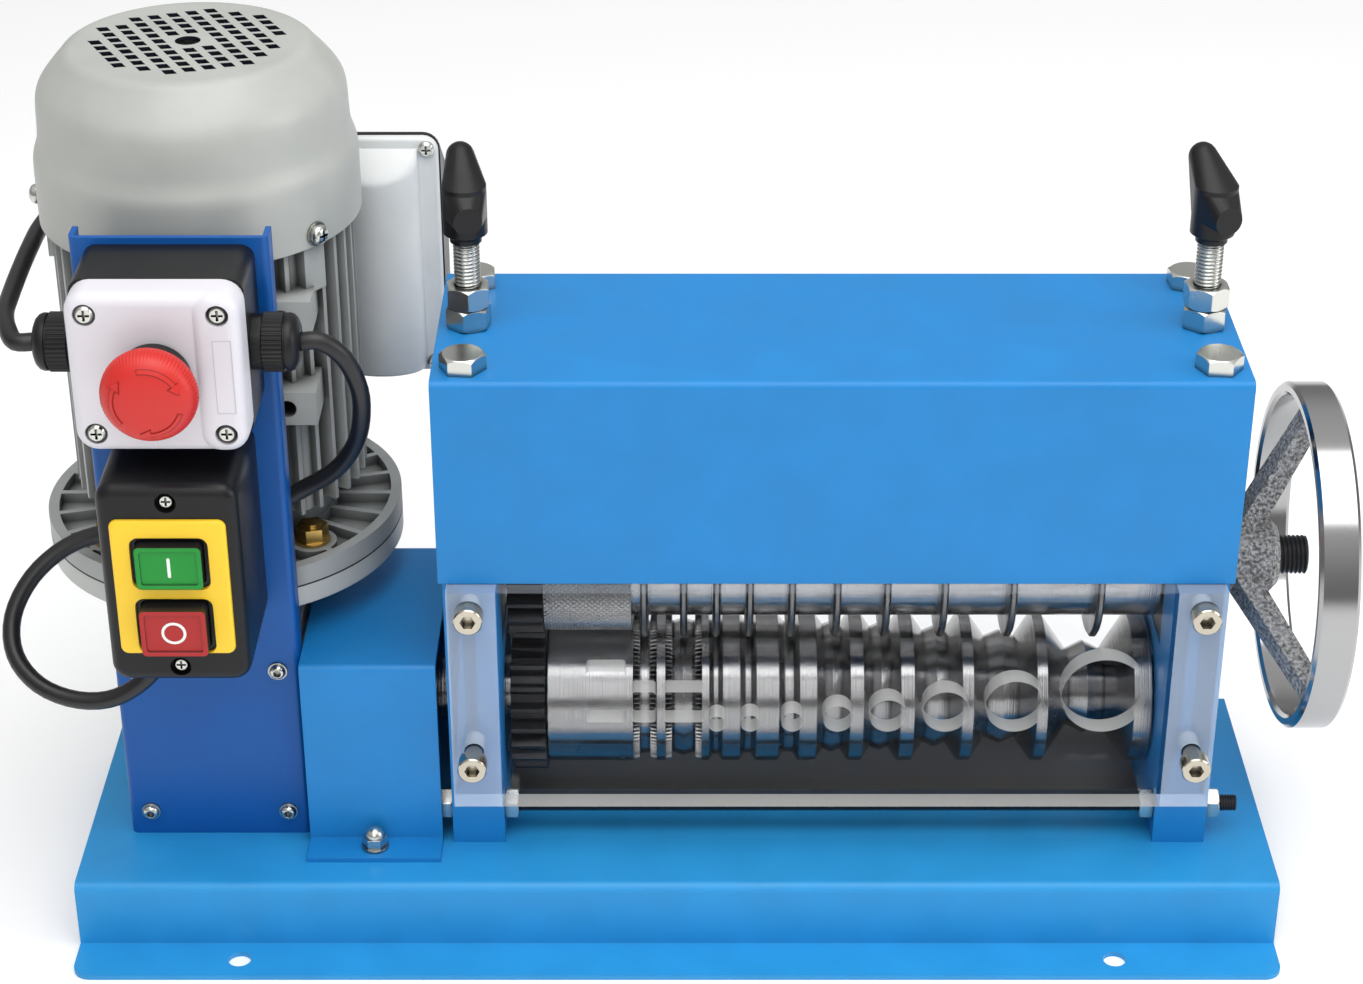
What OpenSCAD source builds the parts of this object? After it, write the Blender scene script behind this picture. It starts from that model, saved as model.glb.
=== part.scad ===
// Bench wire stripping machine with an upright gear motor and a grooved feed roller.
// X runs right along the rollers, Y runs back, Z is up. Millimetres.
// The origin is at the centre of the four base bolt holes, on the underside of the flanges.

/* [Base] */
// Length of the base channel
base_l = 550; // [520:5:700]
// Depth of the raised deck
deck_d = 160; // [156:2:220]
// Height of the deck above the bench
deck_z = 35; // [25:1:60]
// Sheet thickness of the base
base_sheet = 2.5; // [1.5:0.5:4]
// Width of the front and back flanges
base_flange_w = 24; // [20:1:40]
// Distance between the bolt holes along the base
bolt_dx = 400; // [300:5:460]
// Diameter of the bolt holes
bolt_hole_d = 10.5; // [6:0.5:13]

/* [Stripping head] */
// Outer face of the left side plate
head_x = -104; // [-106:1:-100]
// Thickness of the side plates
plate_t = 24; // [20:1:28]
// Clear width between the side plates
head_span = 301; // [301:1:320]
// Depth of the side plates
plate_d = 110; // [106:1:116]
// Y of the roller, blade shaft and adjusters
axis_y = 9; // [5:1:12]
// Height of the feed roller's axis above the deck
roller_h = 51; // [48:1:60]
// Height of the side plates
plate_h = 237.5; // [232:0.5:260]
// Width of the bearing slots in the plates
slot_w = 60; // [54:1:62]
// Sheet thickness of the hood, guard and column
sheet = 2.5; // [1.5:0.5:3]
// Height of the hood
hood_h = 99; // [80:1:104]
// How far the hood passes each side plate
hood_over = 1.75; // [0:0.25:4]

/* [Feed roller and blades] */
// Outer radius of the feed roller
roller_r = 35; // [34:0.25:35.25]
// Radius of the roller's journals
journal_r = 15; // [12:0.5:16]
// Radius of the blade shaft
blade_shaft_r = 12; // [10:0.5:14]
// Radius of the stripping blades
blade_r = 38; // [37:0.25:38.5]
// Thickness of a blade
blade_t = 2.4; // [1.6:0.2:3]
// Radius of the spacers between blades
spacer_r = 28; // [20:1:32]
// Radius of the knurled roller over the flat slot
knurl_r = 35; // [32:0.25:36]
// Width of the roller's smooth land for flat cable
land_w = 39.5; // [36:0.5:40]
// Module of the two spur gears
gear_m = 3; // [2.9:0.05:3.1]
// Teeth of each spur gear
gear_teeth = 24; // [24:1:25]
// Width of the spur gears
gear_w = 16; // [12:0.5:17]

/* [Window] */
// Thickness of the acrylic window
window_t = 10; // [6:1:12]
// Bottom edge of the window above the deck
window_lift = 27; // [22:1:34]
// Side overlap of the window on the plates
window_lap = 22; // [18:0.5:24]
// Diameter of the window screws
window_screw_d = 8; // [6:1:8]

/* [Adjusters] */
// Diameter of the adjuster studs
stud_d = 12; // [10:1:14]
// Height of the knob's neck above the hood
knob_z = 41; // [38:1:60]
// Length of the wing from its front end to the middle of its tip
wing_l = 27.5; // [24:0.5:32]

/* [Handwheel] */
// Outer diameter of the handwheel
wheel_d = 160; // [140:2:200]
// Width of the rim
wheel_w = 18; // [12:1:24]
// Radial thickness of the rim
rim_t = 6; // [4:0.5:12]
// Radius of the hub
hub_r = 17; // [15:0.5:22]

/* [Motor and gearbox] */
// X of the motor, gearbox and control column
motor_x = -213; // [-216:1:-210]
// Distance from the worm to the worm wheel
worm_c = 40; // [40:0.5:42]
// Height of the gearbox under the motor flange
gearbox_h = 124; // [122:1:130]
// Width of the gearbox
gearbox_w = 78; // [74:1:79]
// Diameter of the motor flange
flange_d = 165; // [160:1:166]
// Thickness of each motor flange
flange_t = 10; // [8:1:14]
// Core radius of the finned frame
frame_r = 58; // [56:1:60]
// Height of a cooling fin
fin_h = 9; // [6:0.5:9]
// Number of cooling fins
fin_n = 40; // [32:4:44]
// Height of the finned frame
frame_h = 130; // [126:1:150]
// Height of the fan cowl
cowl_h = 78; // [70:1:90]
// Wall of the fan cowl
cowl_t = 1.6; // [1.2:0.2:2.4]

/* [Control column] */
// Width of the column
column_w = 84; // [84:1:90]
// Height of the column
column_h = 303; // [300:1:340]
// Depth of the column's side flanges
column_d = 12; // [8:1:13]

/* [Controls] */
// Side of the emergency stop box
estop_w = 72; // [66:1:76]
// Depth of the emergency stop box behind its cover
estop_back_d = 35; // [30:1:45]
// Depth of the white cover
estop_cover_d = 17; // [12:1:22]
// Diameter of the mushroom head
mushroom_d = 40; // [34:1:48]
// Travel of the mushroom head
estop_travel = 4; // [2:0.5:5]
// Width of the start and stop box
switch_w = 60; // [56:1:70]
// Height of the start and stop box
switch_h = 96; // [90:1:104]
// Depth of the start and stop box
switch_d = 58; // [45:1:70]
// Travel of the start and stop buttons
button_travel = 3; // [2:0.5:4]

/* [Fits] */
// Radial running clearance of a shaft
run_gap = 0.05; // [0.02:0.01:0.1]
// Gap between pieces that move past each other
free_gap = 0.4; // [0.3:0.05:0.6]
// Diameter of the cables
cable_d = 8; // [6:0.5:9]

/* [Hidden] */
$fn = 48;

// Heights and faces that several pieces share
roller_z = deck_z + roller_h;
gear_r = gear_m * gear_teeth / 2;
blade_z = roller_z + 2 * gear_r;
plate_top = deck_z + plate_h;
hood_top = plate_top + sheet;
hood_z = hood_top - hood_h;
plate_front = axis_y - plate_d / 2;
plate_back = axis_y + plate_d / 2;
in_left = head_x + plate_t;
in_right = in_left + head_span;
head_right = in_right + plate_t;
plate_mid = [head_x + plate_t / 2, in_right + plate_t / 2];
gearbox_top = deck_z + gearbox_h;
motor_y = axis_y + worm_c;

// Bearing blocks in the plates
block_h = 60;
block_gap = 0.3;
block_z = blade_z - 30;

// Rows along the roller: left end of each piece after the left plate
gear_x = in_left + 3;
land_x = gear_x + gear_w + 0.5;
roller_end = in_right - 1;

// Flat feeds: centre, hole width, hole height, groove width, groove root radius
flat_feeds = [[48, 18, 27, 0, 0], [65, 11, 16, 11, 31.5], [83, 18.5, 16, 17, 31]];
// Round feeds: centre, hole diameter, groove width, groove root radius
round_sizes = [
    [98, 8, 6.4, 32], [113, 8.6, 7.6, 31.5], [132, 10, 9.7, 31], [152.5, 13.5, 15.6, 29.5],
    [175, 16.7, 17.3, 28.5], [201, 21, 22.3, 26.5], [232, 26.6, 29.5, 24], [271.5, 38, 40, 18]
];
// The row of feeds goes on as far as the right plate leaves room
last_land = 2;
round_feeds = [for (f = round_sizes) if (f[0] + f[2] / 2 + last_land < head_span) f];
function flat_x(i) = in_left + flat_feeds[i][0];
function round_x(i) = in_left + round_feeds[i][0];
blade_xs = concat([for (i = [1, 2]) flat_x(i)], [for (i = [0 : len(round_feeds) - 1]) round_x(i)]);

blue = [0.09, 0.42, 0.76];
deep_blue = [0.08, 0.33, 0.66];
zinc = [0.78, 0.78, 0.76];
steel = [0.62, 0.63, 0.65];
black = [0.13, 0.13, 0.14];
light_grey = [0.78, 0.79, 0.77];
mid_grey = [0.5, 0.52, 0.53];

// Turn a shape drawn along Z so that it runs along +X
module along_x(x, y, z) {
    translate([x, y, z]) rotate([0, 90, 0]) children();
}

// Turn a shape drawn in XY so that it faces the front, growing towards the viewer
module facing_front(x, y, z) {
    translate([x, y, z]) rotate([90, 0, 0]) children();
}

module rod_x(x0, x1, y, z, r) {
    along_x(x0, y, z) cylinder(h = x1 - x0, r = r);
}

module round_rect(w, h, r) {
    square([w - 2 * r, h], center = true);
    square([w, h - 2 * r], center = true);
    for (sx = [-1, 1], sy = [-1, 1])
        translate([sx * (w / 2 - r), sy * (h / 2 - r)]) circle(r);
}

module round_block(w, h, d, r) {
    linear_extrude(d) round_rect(w, h, r);
}

// Sheet folded into an upside-down U, open below, centred on x = 0 with its top at y = 0
module u_section(w, h, t, r) {
    difference() {
        translate([0, -h]) round_rect(w, 2 * h, r);
        translate([0, -h - t]) round_rect(w - 2 * t, 2 * h, max(r - t, 0.1));
        translate([-w, -3 * h]) square([2 * w, 2 * h]);
    }
}

module hex_prism(af, h) {
    cylinder(h = h, d = af / cos(30), $fn = 6);
}

module hex_nut(af, h, bore_d) {
    difference() {
        intersection() {
            hex_prism(af, h);
            rotate_extrude() polygon([[0, 0], [af / 2, 0], [af * 0.6, h * 0.15], [af * 0.6, h * 0.85],
                                      [af / 2, h], [0, h]]);
        }
        translate([0, 0, -1]) cylinder(h = h + 2, d = bore_d);
    }
}

// Cross-recessed pan head with its seat at z = 0
module pan_head(d, h) {
    difference() {
        rotate_extrude() polygon([[0, 0], [d / 2, 0], [d / 2, h * 0.5], [d * 0.36, h], [0, h]]);
        for (a = [0, 90])
            rotate([0, 0, a]) translate([-d * 0.28, -d * 0.06, h * 0.45]) cube([d * 0.56, d * 0.12, h]);
    }
}

// Extrude a section drawn as Y across and Z up, from x0 to x1
module section_x(x0, x1) {
    translate([x0, 0, 0]) rotate([90, 0, 90]) linear_extrude(x1 - x0) children();
}

// Base: folded hat channel with bolt flanges
bolt_dy = deck_d + base_flange_w;
base_bend_r = 4;
flange_corner_r = 8;
module base_channel() {
    color(blue) difference() {
        union() {
            section_x(-base_l / 2, base_l / 2)
                translate([0, deck_z]) u_section(deck_d, deck_z, base_sheet, base_bend_r);
            linear_extrude(base_sheet) difference() {
                round_rect(base_l, deck_d + 2 * base_flange_w, flange_corner_r);
                square([base_l + 2, deck_d - 2 * base_sheet], center = true);
            }
        }
        for (sx = [-1, 1], sy = [-1, 1])
            translate([sx * bolt_dx / 2, sy * bolt_dy / 2, -1]) cylinder(h = base_sheet + 2, d = bolt_hole_d);
    }
}

// Control column: sheet channel screwed to the gearbox's front face
gearbox_front = axis_y - 45;
column_front = gearbox_front - sheet;
column_screw_d = 6;
column_screw_at = [for (sx = [-1, 1], sz = [-1, 1]) [motor_x + sx * 32, roller_z + sz * 38.5]];
module control_column() {
    color(deep_blue) difference() {
        translate([motor_x, column_front, deck_z]) linear_extrude(column_h)
            rotate(180) u_section(column_w, column_d, sheet, 3);
        for (p = column_screw_at)
            facing_front(p[0], gearbox_front + 1, p[1]) cylinder(h = sheet + 2, d = column_screw_d);
    }
}

washer_t = 1.4;
button_head_h = 3.3;
column_screw_l = 12;
module column_screws() {
    color(zinc) for (p = column_screw_at) facing_front(p[0], column_front, p[1]) {
        cylinder(h = washer_t, d = 2.2 * column_screw_d);
        translate([0, 0, -column_screw_l]) cylinder(h = column_screw_l + washer_t, d = column_screw_d);
        translate([0, 0, washer_t]) difference() {
            rotate_extrude() polygon([[0, 0], [5.25, 0], [4.6, 2], [3.2, button_head_h], [0, button_head_h]]);
            translate([0, 0, 1.3]) hex_prism(4, button_head_h);
        }
    }
}

// Coupling guard: sheet bridge between the gearbox and the left side plate
guard_x0 = motor_x + column_w / 2 + free_gap;
guard_x1 = head_x - 5;
guard_h = 96;
guard_foot = 16;
guard_mid = (guard_x0 + guard_x1) / 2;
guard_nut_at = [for (sy = [-1, 1]) [guard_mid, axis_y + sy * (plate_d / 2 + guard_foot / 2 - 1)]];
guard_stud_d = 6;
module coupling_guard() {
    color(blue) difference() {
        union() {
            section_x(guard_x0, guard_x1)
                translate([axis_y, deck_z + guard_h]) u_section(plate_d, guard_h, sheet, 3);
            for (y = [plate_front - guard_foot, plate_back - sheet])
                translate([guard_x0, y, deck_z]) cube([guard_x1 - guard_x0, guard_foot + sheet, sheet]);
        }
        for (p = guard_nut_at)
            translate([p[0], p[1], deck_z - 1]) cylinder(h = sheet + 2, d = guard_stud_d + 0.6);
    }
}

// Acorn nuts on short studs that hold the guard's feet
module guard_nuts() {
    color(zinc) for (p = guard_nut_at) translate([p[0], p[1], deck_z]) {
        cylinder(h = sheet + 4, d = guard_stud_d);
        translate([0, 0, sheet]) {
            cylinder(h = washer_t, d = 12.5);
            translate([0, 0, washer_t]) hex_prism(10, 5);
            translate([0, 0, washer_t + 5]) intersection() {
                sphere(d = 9.2);
                translate([-6, -6, 0]) cube(12);
            }
        }
    }
}

// Side plates: roller bearing below, open slot for the sliding bearing block above
bearing_od = 62;
bearing_w = 16;
head_bolt_d = 12;
head_bolt_dy = 43;
head_bolt_l = 30;
rod_d = 8;
rod_inset = 9;
rod_z = deck_z + 16;
rod_ys = [plate_front + rod_inset, plate_back - rod_inset];
window_z0 = deck_z + window_lift;
window_z1 = hood_z - 0.5;
window_screw_zs = [window_z0 + 30, window_z1 - 10.5];
window_screw_l = 18;
tap_gap = 0.02;
module side_plate(x) {
    mid = x + plate_t / 2;
    difference() {
        translate([x, plate_front, deck_z]) cube([plate_t, plate_d, plate_h]);
        translate([x - 1, axis_y - slot_w / 2, block_z - block_gap])
            cube([plate_t + 2, slot_w, plate_top]);
        rod_x(x - 1, x + plate_t + 1, axis_y, roller_z, bearing_od / 2 + tap_gap);
        for (sy = [-1, 1])
            translate([mid, axis_y + sy * head_bolt_dy, plate_top - head_bolt_l])
                cylinder(h = head_bolt_l + 1, d = head_bolt_d + 2 * tap_gap);
        for (y = rod_ys)
            rod_x(x - 1, x + plate_t + 1, y, rod_z, rod_d / 2 + tap_gap);
        for (z = window_screw_zs)
            facing_front(mid, plate_front + window_screw_l, z)
                cylinder(h = window_screw_l + 1, d = window_screw_d + 2 * tap_gap);
    }
}
module left_side_plate() {
    color(blue) side_plate(head_x);
}
module right_side_plate() {
    color(blue) side_plate(in_right);
}

// Ball bearings that carry the feed roller
module roller_bearing(x) {
    groove_r = (bearing_od / 2 + journal_r) / 2;
    along_x(x, axis_y, roller_z) rotate_extrude() difference() {
        translate([journal_r + run_gap, 0]) square([bearing_od / 2 - journal_r - run_gap, bearing_w]);
        for (s = [-0.5, bearing_w - 1])
            translate([groove_r - 4, s]) square([8, 1.5]);
    }
}
module roller_bearings() {
    color(steel) for (x = [head_x, in_right]) roller_bearing(x + (plate_t - bearing_w) / 2);
}

// Hood: sheet cover over the plates, carrying the adjuster nuts
hole_gap = 0.5;
module hood() {
    color(blue) difference() {
        section_x(head_x - hood_over, head_right + hood_over)
            translate([axis_y, hood_top]) u_section(plate_d + 2 * sheet, hood_h, sheet, 3);
        for (x = plate_mid) {
            translate([x, axis_y, plate_top - 1]) cylinder(h = sheet + 2, d = stud_d + 2 * hole_gap);
            for (sy = [-1, 1])
                translate([x, axis_y + sy * head_bolt_dy, plate_top - 1])
                    cylinder(h = sheet + 2, d = head_bolt_d + 2 * hole_gap);
        }
    }
}

head_bolt_head_h = 7.5;
module hood_bolts() {
    color(zinc) for (x = plate_mid, sy = [-1, 1])
        translate([x, axis_y + sy * head_bolt_dy, hood_top]) {
            translate([0, 0, 2 - head_bolt_l]) cylinder(h = head_bolt_l - 2, d = head_bolt_d);
            intersection() {
                rotate(15 + 20 * sy) hex_prism(1.5 * head_bolt_d, head_bolt_head_h);
                rotate_extrude() polygon([[0, 0], [head_bolt_d, 0], [head_bolt_d, head_bolt_head_h * 0.7],
                                          [0.72 * head_bolt_d, head_bolt_head_h], [0, head_bolt_head_h]]);
            }
        }
}

// Nuts fixed on the hood that the adjuster studs turn in
nut_h = 10;
module adjuster_nuts() {
    color(zinc) for (x = plate_mid)
        translate([x, axis_y, hood_top]) rotate(20) hex_nut(1.5 * stud_d, nut_h, stud_d + 2 * run_gap);
}

// Acrylic window with the feed holes in one row
feed_floor = window_z0 + 41;
feed_flat_floor = window_z0 + 46;
module safety_window() {
    w = head_span + 2 * window_lap;
    color([0.8, 0.9, 0.95, 0.35]) facing_front(in_left - window_lap, plate_front, 0) difference() {
        translate([0, window_z0, 0]) cube([w, window_z1 - window_z0, window_t]);
        for (f = flat_feeds)
            translate([window_lap + f[0], feed_flat_floor + f[2] / 2, -1])
                round_block(f[1], f[2], window_t + 2, 2);
        for (f = round_feeds)
            translate([window_lap + f[0], feed_floor + f[1] / 2, -1]) cylinder(h = window_t + 2, d = f[1]);
        for (x = plate_mid, z = window_screw_zs)
            translate([x - in_left + window_lap, z, -1]) cylinder(h = window_t + 2, d = window_screw_d + 1);
    }
}

// Socket-head screws of the window: the lower pair stands proud of it
proud = [8, 0];
cap_head_h = 8;
module window_screws() {
    color(zinc) for (x = plate_mid, i = [0, 1])
        facing_front(x, plate_front + window_screw_l - 2, window_screw_zs[i]) difference() {
            union() {
                cylinder(h = window_screw_l - 2 + window_t + proud[i] + 1, d = window_screw_d);
                translate([0, 0, window_screw_l - 2 + window_t + proud[i]])
                    rotate_extrude() polygon([[0, 0], [6.5, 0], [6.5, cap_head_h - 0.6], [5.9, cap_head_h],
                                              [0, cap_head_h]]);
            }
            translate([0, 0, window_screw_l + 2 + window_t + proud[i]]) hex_prism(6, cap_head_h);
        }
}

// Threaded rods that tie the plates together, with a nut on each side of each plate
rod_nut_h = 6.5;
rod_end = 15;
module tie_rods() {
    color(black) for (y = rod_ys) rod_x(head_x - rod_nut_h - 2, head_right + rod_end, y, rod_z, rod_d / 2);
}
module tie_rod_nuts() {
    color(zinc) for (y = rod_ys, x = [head_x - rod_nut_h, in_left, in_right - rod_nut_h, head_right])
        along_x(x, y, rod_z) hex_nut(13, rod_nut_h, rod_d + 2 * tap_gap);
}

// Dark sheet tray on the deck below the roller
tray_t = 1.5;
tray_gap = 1;
tray_front = axis_y - 19;
module chip_tray() {
    color(black) translate([in_left + tray_gap, tray_front, deck_z]) {
        cube([head_span - 2 * tray_gap, plate_back - tray_front, tray_t]);
        cube([head_span - 2 * tray_gap, tray_t, 5]);
    }
}

// Involute gear outline, with a tooth pointing along -x
pressure = 20;
function polar(r, a) = r * [cos(a), sin(a)];
function involute(a) = tan(a) * 180 / PI - a;
function half_tooth(r, rb, teeth, slack) =
    90 / teeth - slack + involute(pressure) - involute(acos(min(1, rb / r)));
module gear_outline(m, teeth, slack = 0.35) {
    pitch_r = m * teeth / 2;
    base_r = pitch_r * cos(pressure);
    tip_r = pitch_r + m * 0.95;
    root_r = pitch_r - m * 1.25;
    low_r = max(base_r, root_r + 0.1);
    radii = concat([root_r], [for (i = [0 : 4]) low_r + (tip_r - low_r) * i / 4]);
    last = len(radii) - 1;
    polygon([for (t = [0 : teeth - 1]) let (mid = 180 + t * 360 / teeth) each concat(
        [for (i = [0 : last]) polar(radii[i], mid - half_tooth(radii[i], base_r, teeth, slack))],
        [for (i = [last : -1 : 0]) polar(radii[i], mid + half_tooth(radii[i], base_r, teeth, slack))])]);
}

// Gearbox: cast housing with a flange for the motor, a boss for the output shaft and cavities for the gears
gearbox_back = motor_y + 34;
gearbox_body_h = 95;
worm_r = 7.6;
wheel_m = 2;
wheel_teeth = 30;
worm_wheel_w = 18;
wheel_cavity_r = 36;
cavity_w = worm_wheel_w + 12;
output_r = 14;
output_left = motor_x - 30;
boss_r = 34;
boss_end = motor_x + gearbox_w / 2 + 6;
module gearbox_housing() {
    mid_y = (gearbox_front + gearbox_back) / 2;
    color(light_grey) difference() {
        union() {
            translate([motor_x, mid_y, deck_z])
                round_block(gearbox_w, gearbox_back - gearbox_front, gearbox_body_h, 6);
            translate([motor_x, motor_y, deck_z + gearbox_body_h - 8])
                cylinder(h = gearbox_h - gearbox_body_h - flange_t + 9, r1 = 30, r2 = 56);
            translate([motor_x, motor_y, gearbox_top - flange_t]) cylinder(h = flange_t, d = flange_d);
            rod_x(motor_x - gearbox_w / 2 - 4, boss_end, axis_y, roller_z, boss_r);
            for (sx = [-1, 1], y = [axis_y + 20, motor_y + 8])
                translate([motor_x + sx * (gearbox_w / 2 - 2) - 3, y, deck_z])
                    cube([6, 5, gearbox_body_h - 6]);
        }
        rod_x(motor_x - cavity_w / 2, motor_x + cavity_w / 2, axis_y, roller_z, wheel_cavity_r);
        rod_x(output_left - 2, boss_end + 1, axis_y, roller_z, output_r + run_gap);
        translate([motor_x, motor_y, deck_z + 12]) cylinder(h = gearbox_h, r = worm_r + 6);
        translate([motor_x, motor_y, deck_z + 5]) cylinder(h = gearbox_h, r = worm_r + run_gap);
        for (p = column_screw_at)
            facing_front(p[0], column_front + column_screw_l, p[1])
                cylinder(h = column_screw_l, d = column_screw_d + 2 * tap_gap);
        translate([motor_x, motor_y, gearbox_top - flange_t - 1])
            at_flange_bolts() cylinder(h = flange_t + 2, d = flange_bolt_d + 2 * tap_gap);
    }
}

// Motor's lower end shield: flange with ribbed pockets and a bearing bore
flange_bolt_r = 65;
flange_bolt_d = 8;
flange_bolt_as = [45, 135, 225, 315];
module at_flange_bolts() {
    for (a = flange_bolt_as) rotate(a) translate([flange_bolt_r, 0, 0]) children();
}
shield_h = 26;
shield_hub_r = 50;
rotor_shaft_r = 9.5;
pocket_deep = 5;
frame_z = gearbox_top + shield_h;
module motor_end_shield() {
    color(light_grey) translate([motor_x, motor_y, gearbox_top]) difference() {
        union() {
            cylinder(h = flange_t, d = flange_d);
            cylinder(h = shield_h, r1 = shield_hub_r + 3, r2 = shield_hub_r);
        }
        translate([0, 0, flange_t - pocket_deep]) linear_extrude(pocket_deep + 1) difference() {
            circle(flange_d / 2 - 5);
            circle(shield_hub_r + 3);
            at_flange_bolts() circle(11);
            for (a = [0 : 15 : 345])
                rotate(a) translate([flange_d / 4, 0]) square([flange_d / 2, 3], center = true);
        }
        translate([0, 0, -1]) cylinder(h = shield_h + 2, r = rotor_shaft_r + run_gap);
        translate([0, 0, -1]) at_flange_bolts() cylinder(h = flange_t + 2, d = flange_bolt_d + 2 * tap_gap);
    }
}

flange_nut_h = 6.5;
module flange_nuts() {
    color([0.75, 0.62, 0.3]) translate([motor_x, motor_y, gearbox_top]) at_flange_bolts() {
        translate([0, 0, -flange_t - 2]) cylinder(h = 2 * flange_t + flange_nut_h + 5, d = flange_bolt_d);
        translate([0, 0, flange_t]) cylinder(h = 1.6, d = 16);
        translate([0, 0, flange_t + 1.6]) hex_prism(13, flange_nut_h);
        translate([0, 0, -flange_t - 5.3]) hex_prism(13, 5.3);
    }
}

// Motor frame: finned tube with lugs for the cowl screws, a pad for the capacitor box and two foot bosses
bore_r = 52;
fin_t = 2.2;
frame_top = frame_z + frame_h;
cowl_r = 71.5;
cowl_lap = 8;
cowl_screw_as = [-38, 71, 180];
cap_h = 122;
cap_w = 62;
cap_x = motor_x + 71;
cap_z = frame_top - 52;
cap_front = motor_y + 65;
cap_pad = [20, 50, 40];
cap_pad_h = 50;
lug_sink = 3;
lug_w = 12;
lug_h = 21;
lug_drop = 0.5;
lug_end = sqrt(pow(cowl_r - cowl_t, 2) - pow(lug_w / 2, 2)) - tap_gap;
foot_at = [32, -61];
foot_size = [22, 26, 16];
foot_zs = [51, 95];
foot_hole_d = 8;
foot_hole_deep = 14;
end_wall = 6;
module motor_frame() {
    color(mid_grey) translate([motor_x, motor_y, frame_z]) difference() {
        union() {
            linear_extrude(frame_h) {
                circle(frame_r);
                for (i = [0 : fin_n - 1])
                    rotate((i + 0.5) * 360 / fin_n)
                        translate([frame_r - 2, -fin_t / 2]) square([fin_h + 2, fin_t]);
                for (a = flange_bolt_as) rotate(a) translate([frame_r, 0]) circle(6.5);
            }
            for (a = cowl_screw_as)
                rotate(a) translate([frame_r - lug_sink, -lug_w / 2, frame_h - lug_h - lug_drop])
                    cube([lug_end - frame_r + lug_sink, lug_w, lug_h]);
            translate([cap_pad[0], cap_pad[1], cap_z - frame_z - cap_pad_h / 2])
                cube([cap_x - cap_w / 2 - motor_x - cap_pad[0], cap_pad[2], cap_pad_h]);
            for (z = foot_zs) translate([foot_at[0], foot_at[1], z]) cube(foot_size);
        }
        for (z = foot_zs)
            facing_front(foot_at[0] + 9, foot_at[1] + foot_hole_deep, z + foot_size[2] / 2)
                cylinder(h = foot_hole_deep + 1, d = foot_hole_d);
        translate([0, 0, -1]) cylinder(h = frame_h - end_wall + 1, r = bore_r);
        cylinder(h = frame_h + 1, r = rotor_shaft_r + run_gap);
        for (a = cowl_screw_as)
            rotate(a) translate([frame_r + 1, 0, frame_h - cowl_lap / 2]) rotate([0, 90, 0])
                cylinder(h = cowl_r, d = cowl_screw_d + 2 * tap_gap);
    }
}

// Stator core with its end windings
core_low = 22;
winding_h = 12;
winding_room = 6;
core_z = frame_z + core_low;
core_h = frame_h - core_low - winding_h - winding_room - end_wall;
rotor_r = 30;
air_gap = 0.6;
module stator() {
    color([0.5, 0.35, 0.22]) translate([motor_x, motor_y, core_z]) rotate_extrude()
        polygon([[rotor_r + air_gap, 0], [36, -1], [37, -winding_h], [46, -winding_h], [47, -1],
                 [bore_r - tap_gap, 0], [bore_r - tap_gap, core_h], [47, core_h + 1],
                 [46, core_h + winding_h], [37, core_h + winding_h], [36, core_h + 1],
                 [rotor_r + air_gap, core_h]]);
}

// Fan cowl: spun shell with a punched grille of skewed square holes
grille_r = 45.5;
grille_pitch = 8.6;
grille_hole = 5.4;
cowl_z = frame_top - cowl_lap;
cowl_top = frame_top + cowl_h;
function cowl_shape(t) = [
    [cowl_r - t, cowl_z], [cowl_r - t, cowl_z + 36], [cowl_r - 2 - t, cowl_z + 42],
    [cowl_r - 3.5 - t, cowl_top - 19], [cowl_r - 5 - t, cowl_top - 15], [55 - t / 2, cowl_top - 2.2 - t / 2],
    [52 - t / 2, cowl_top - t], [0, cowl_top - t]
];
module cowl_at(a) {
    rotate(a) translate([cowl_r - cowl_t, 0, frame_top - cowl_lap / 2]) rotate([0, 90, 0]) children();
}
module fan_cowl() {
    inner = cowl_shape(cowl_t);
    color(light_grey) translate([motor_x, motor_y, 0]) difference() {
        rotate_extrude() polygon(concat(cowl_shape(0), [for (i = [len(inner) - 1 : -1 : 0]) inner[i]]));
        translate([0, 0, cowl_top - cowl_t - 1]) linear_extrude(cowl_t + 2) {
            circle(6);
            rotate(28) for (i = [-5 : 5], j = [-5 : 5]) {
                far = norm([i, j]) * grille_pitch;
                if (far > 11 && far < grille_r - 2)
                    translate([i, j] * grille_pitch) rotate(-8) square(grille_hole, center = true);
            }
        }
        for (a = cowl_screw_as) cowl_at(a) translate([0, 0, -2]) cylinder(h = 6, d = cowl_screw_d + 1);
    }
}

cowl_screw_d = 5;
module cowl_screws() {
    color(zinc) translate([motor_x, motor_y, 0]) for (a = cowl_screw_as) cowl_at(a) {
        translate([0, 0, -9]) cylinder(h = 9 + cowl_t + 1, d = cowl_screw_d);
        translate([0, 0, cowl_t + tap_gap]) cylinder(h = 1, d = 11);
        translate([0, 0, cowl_t + 1]) pan_head(9, 4);
    }
}

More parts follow.
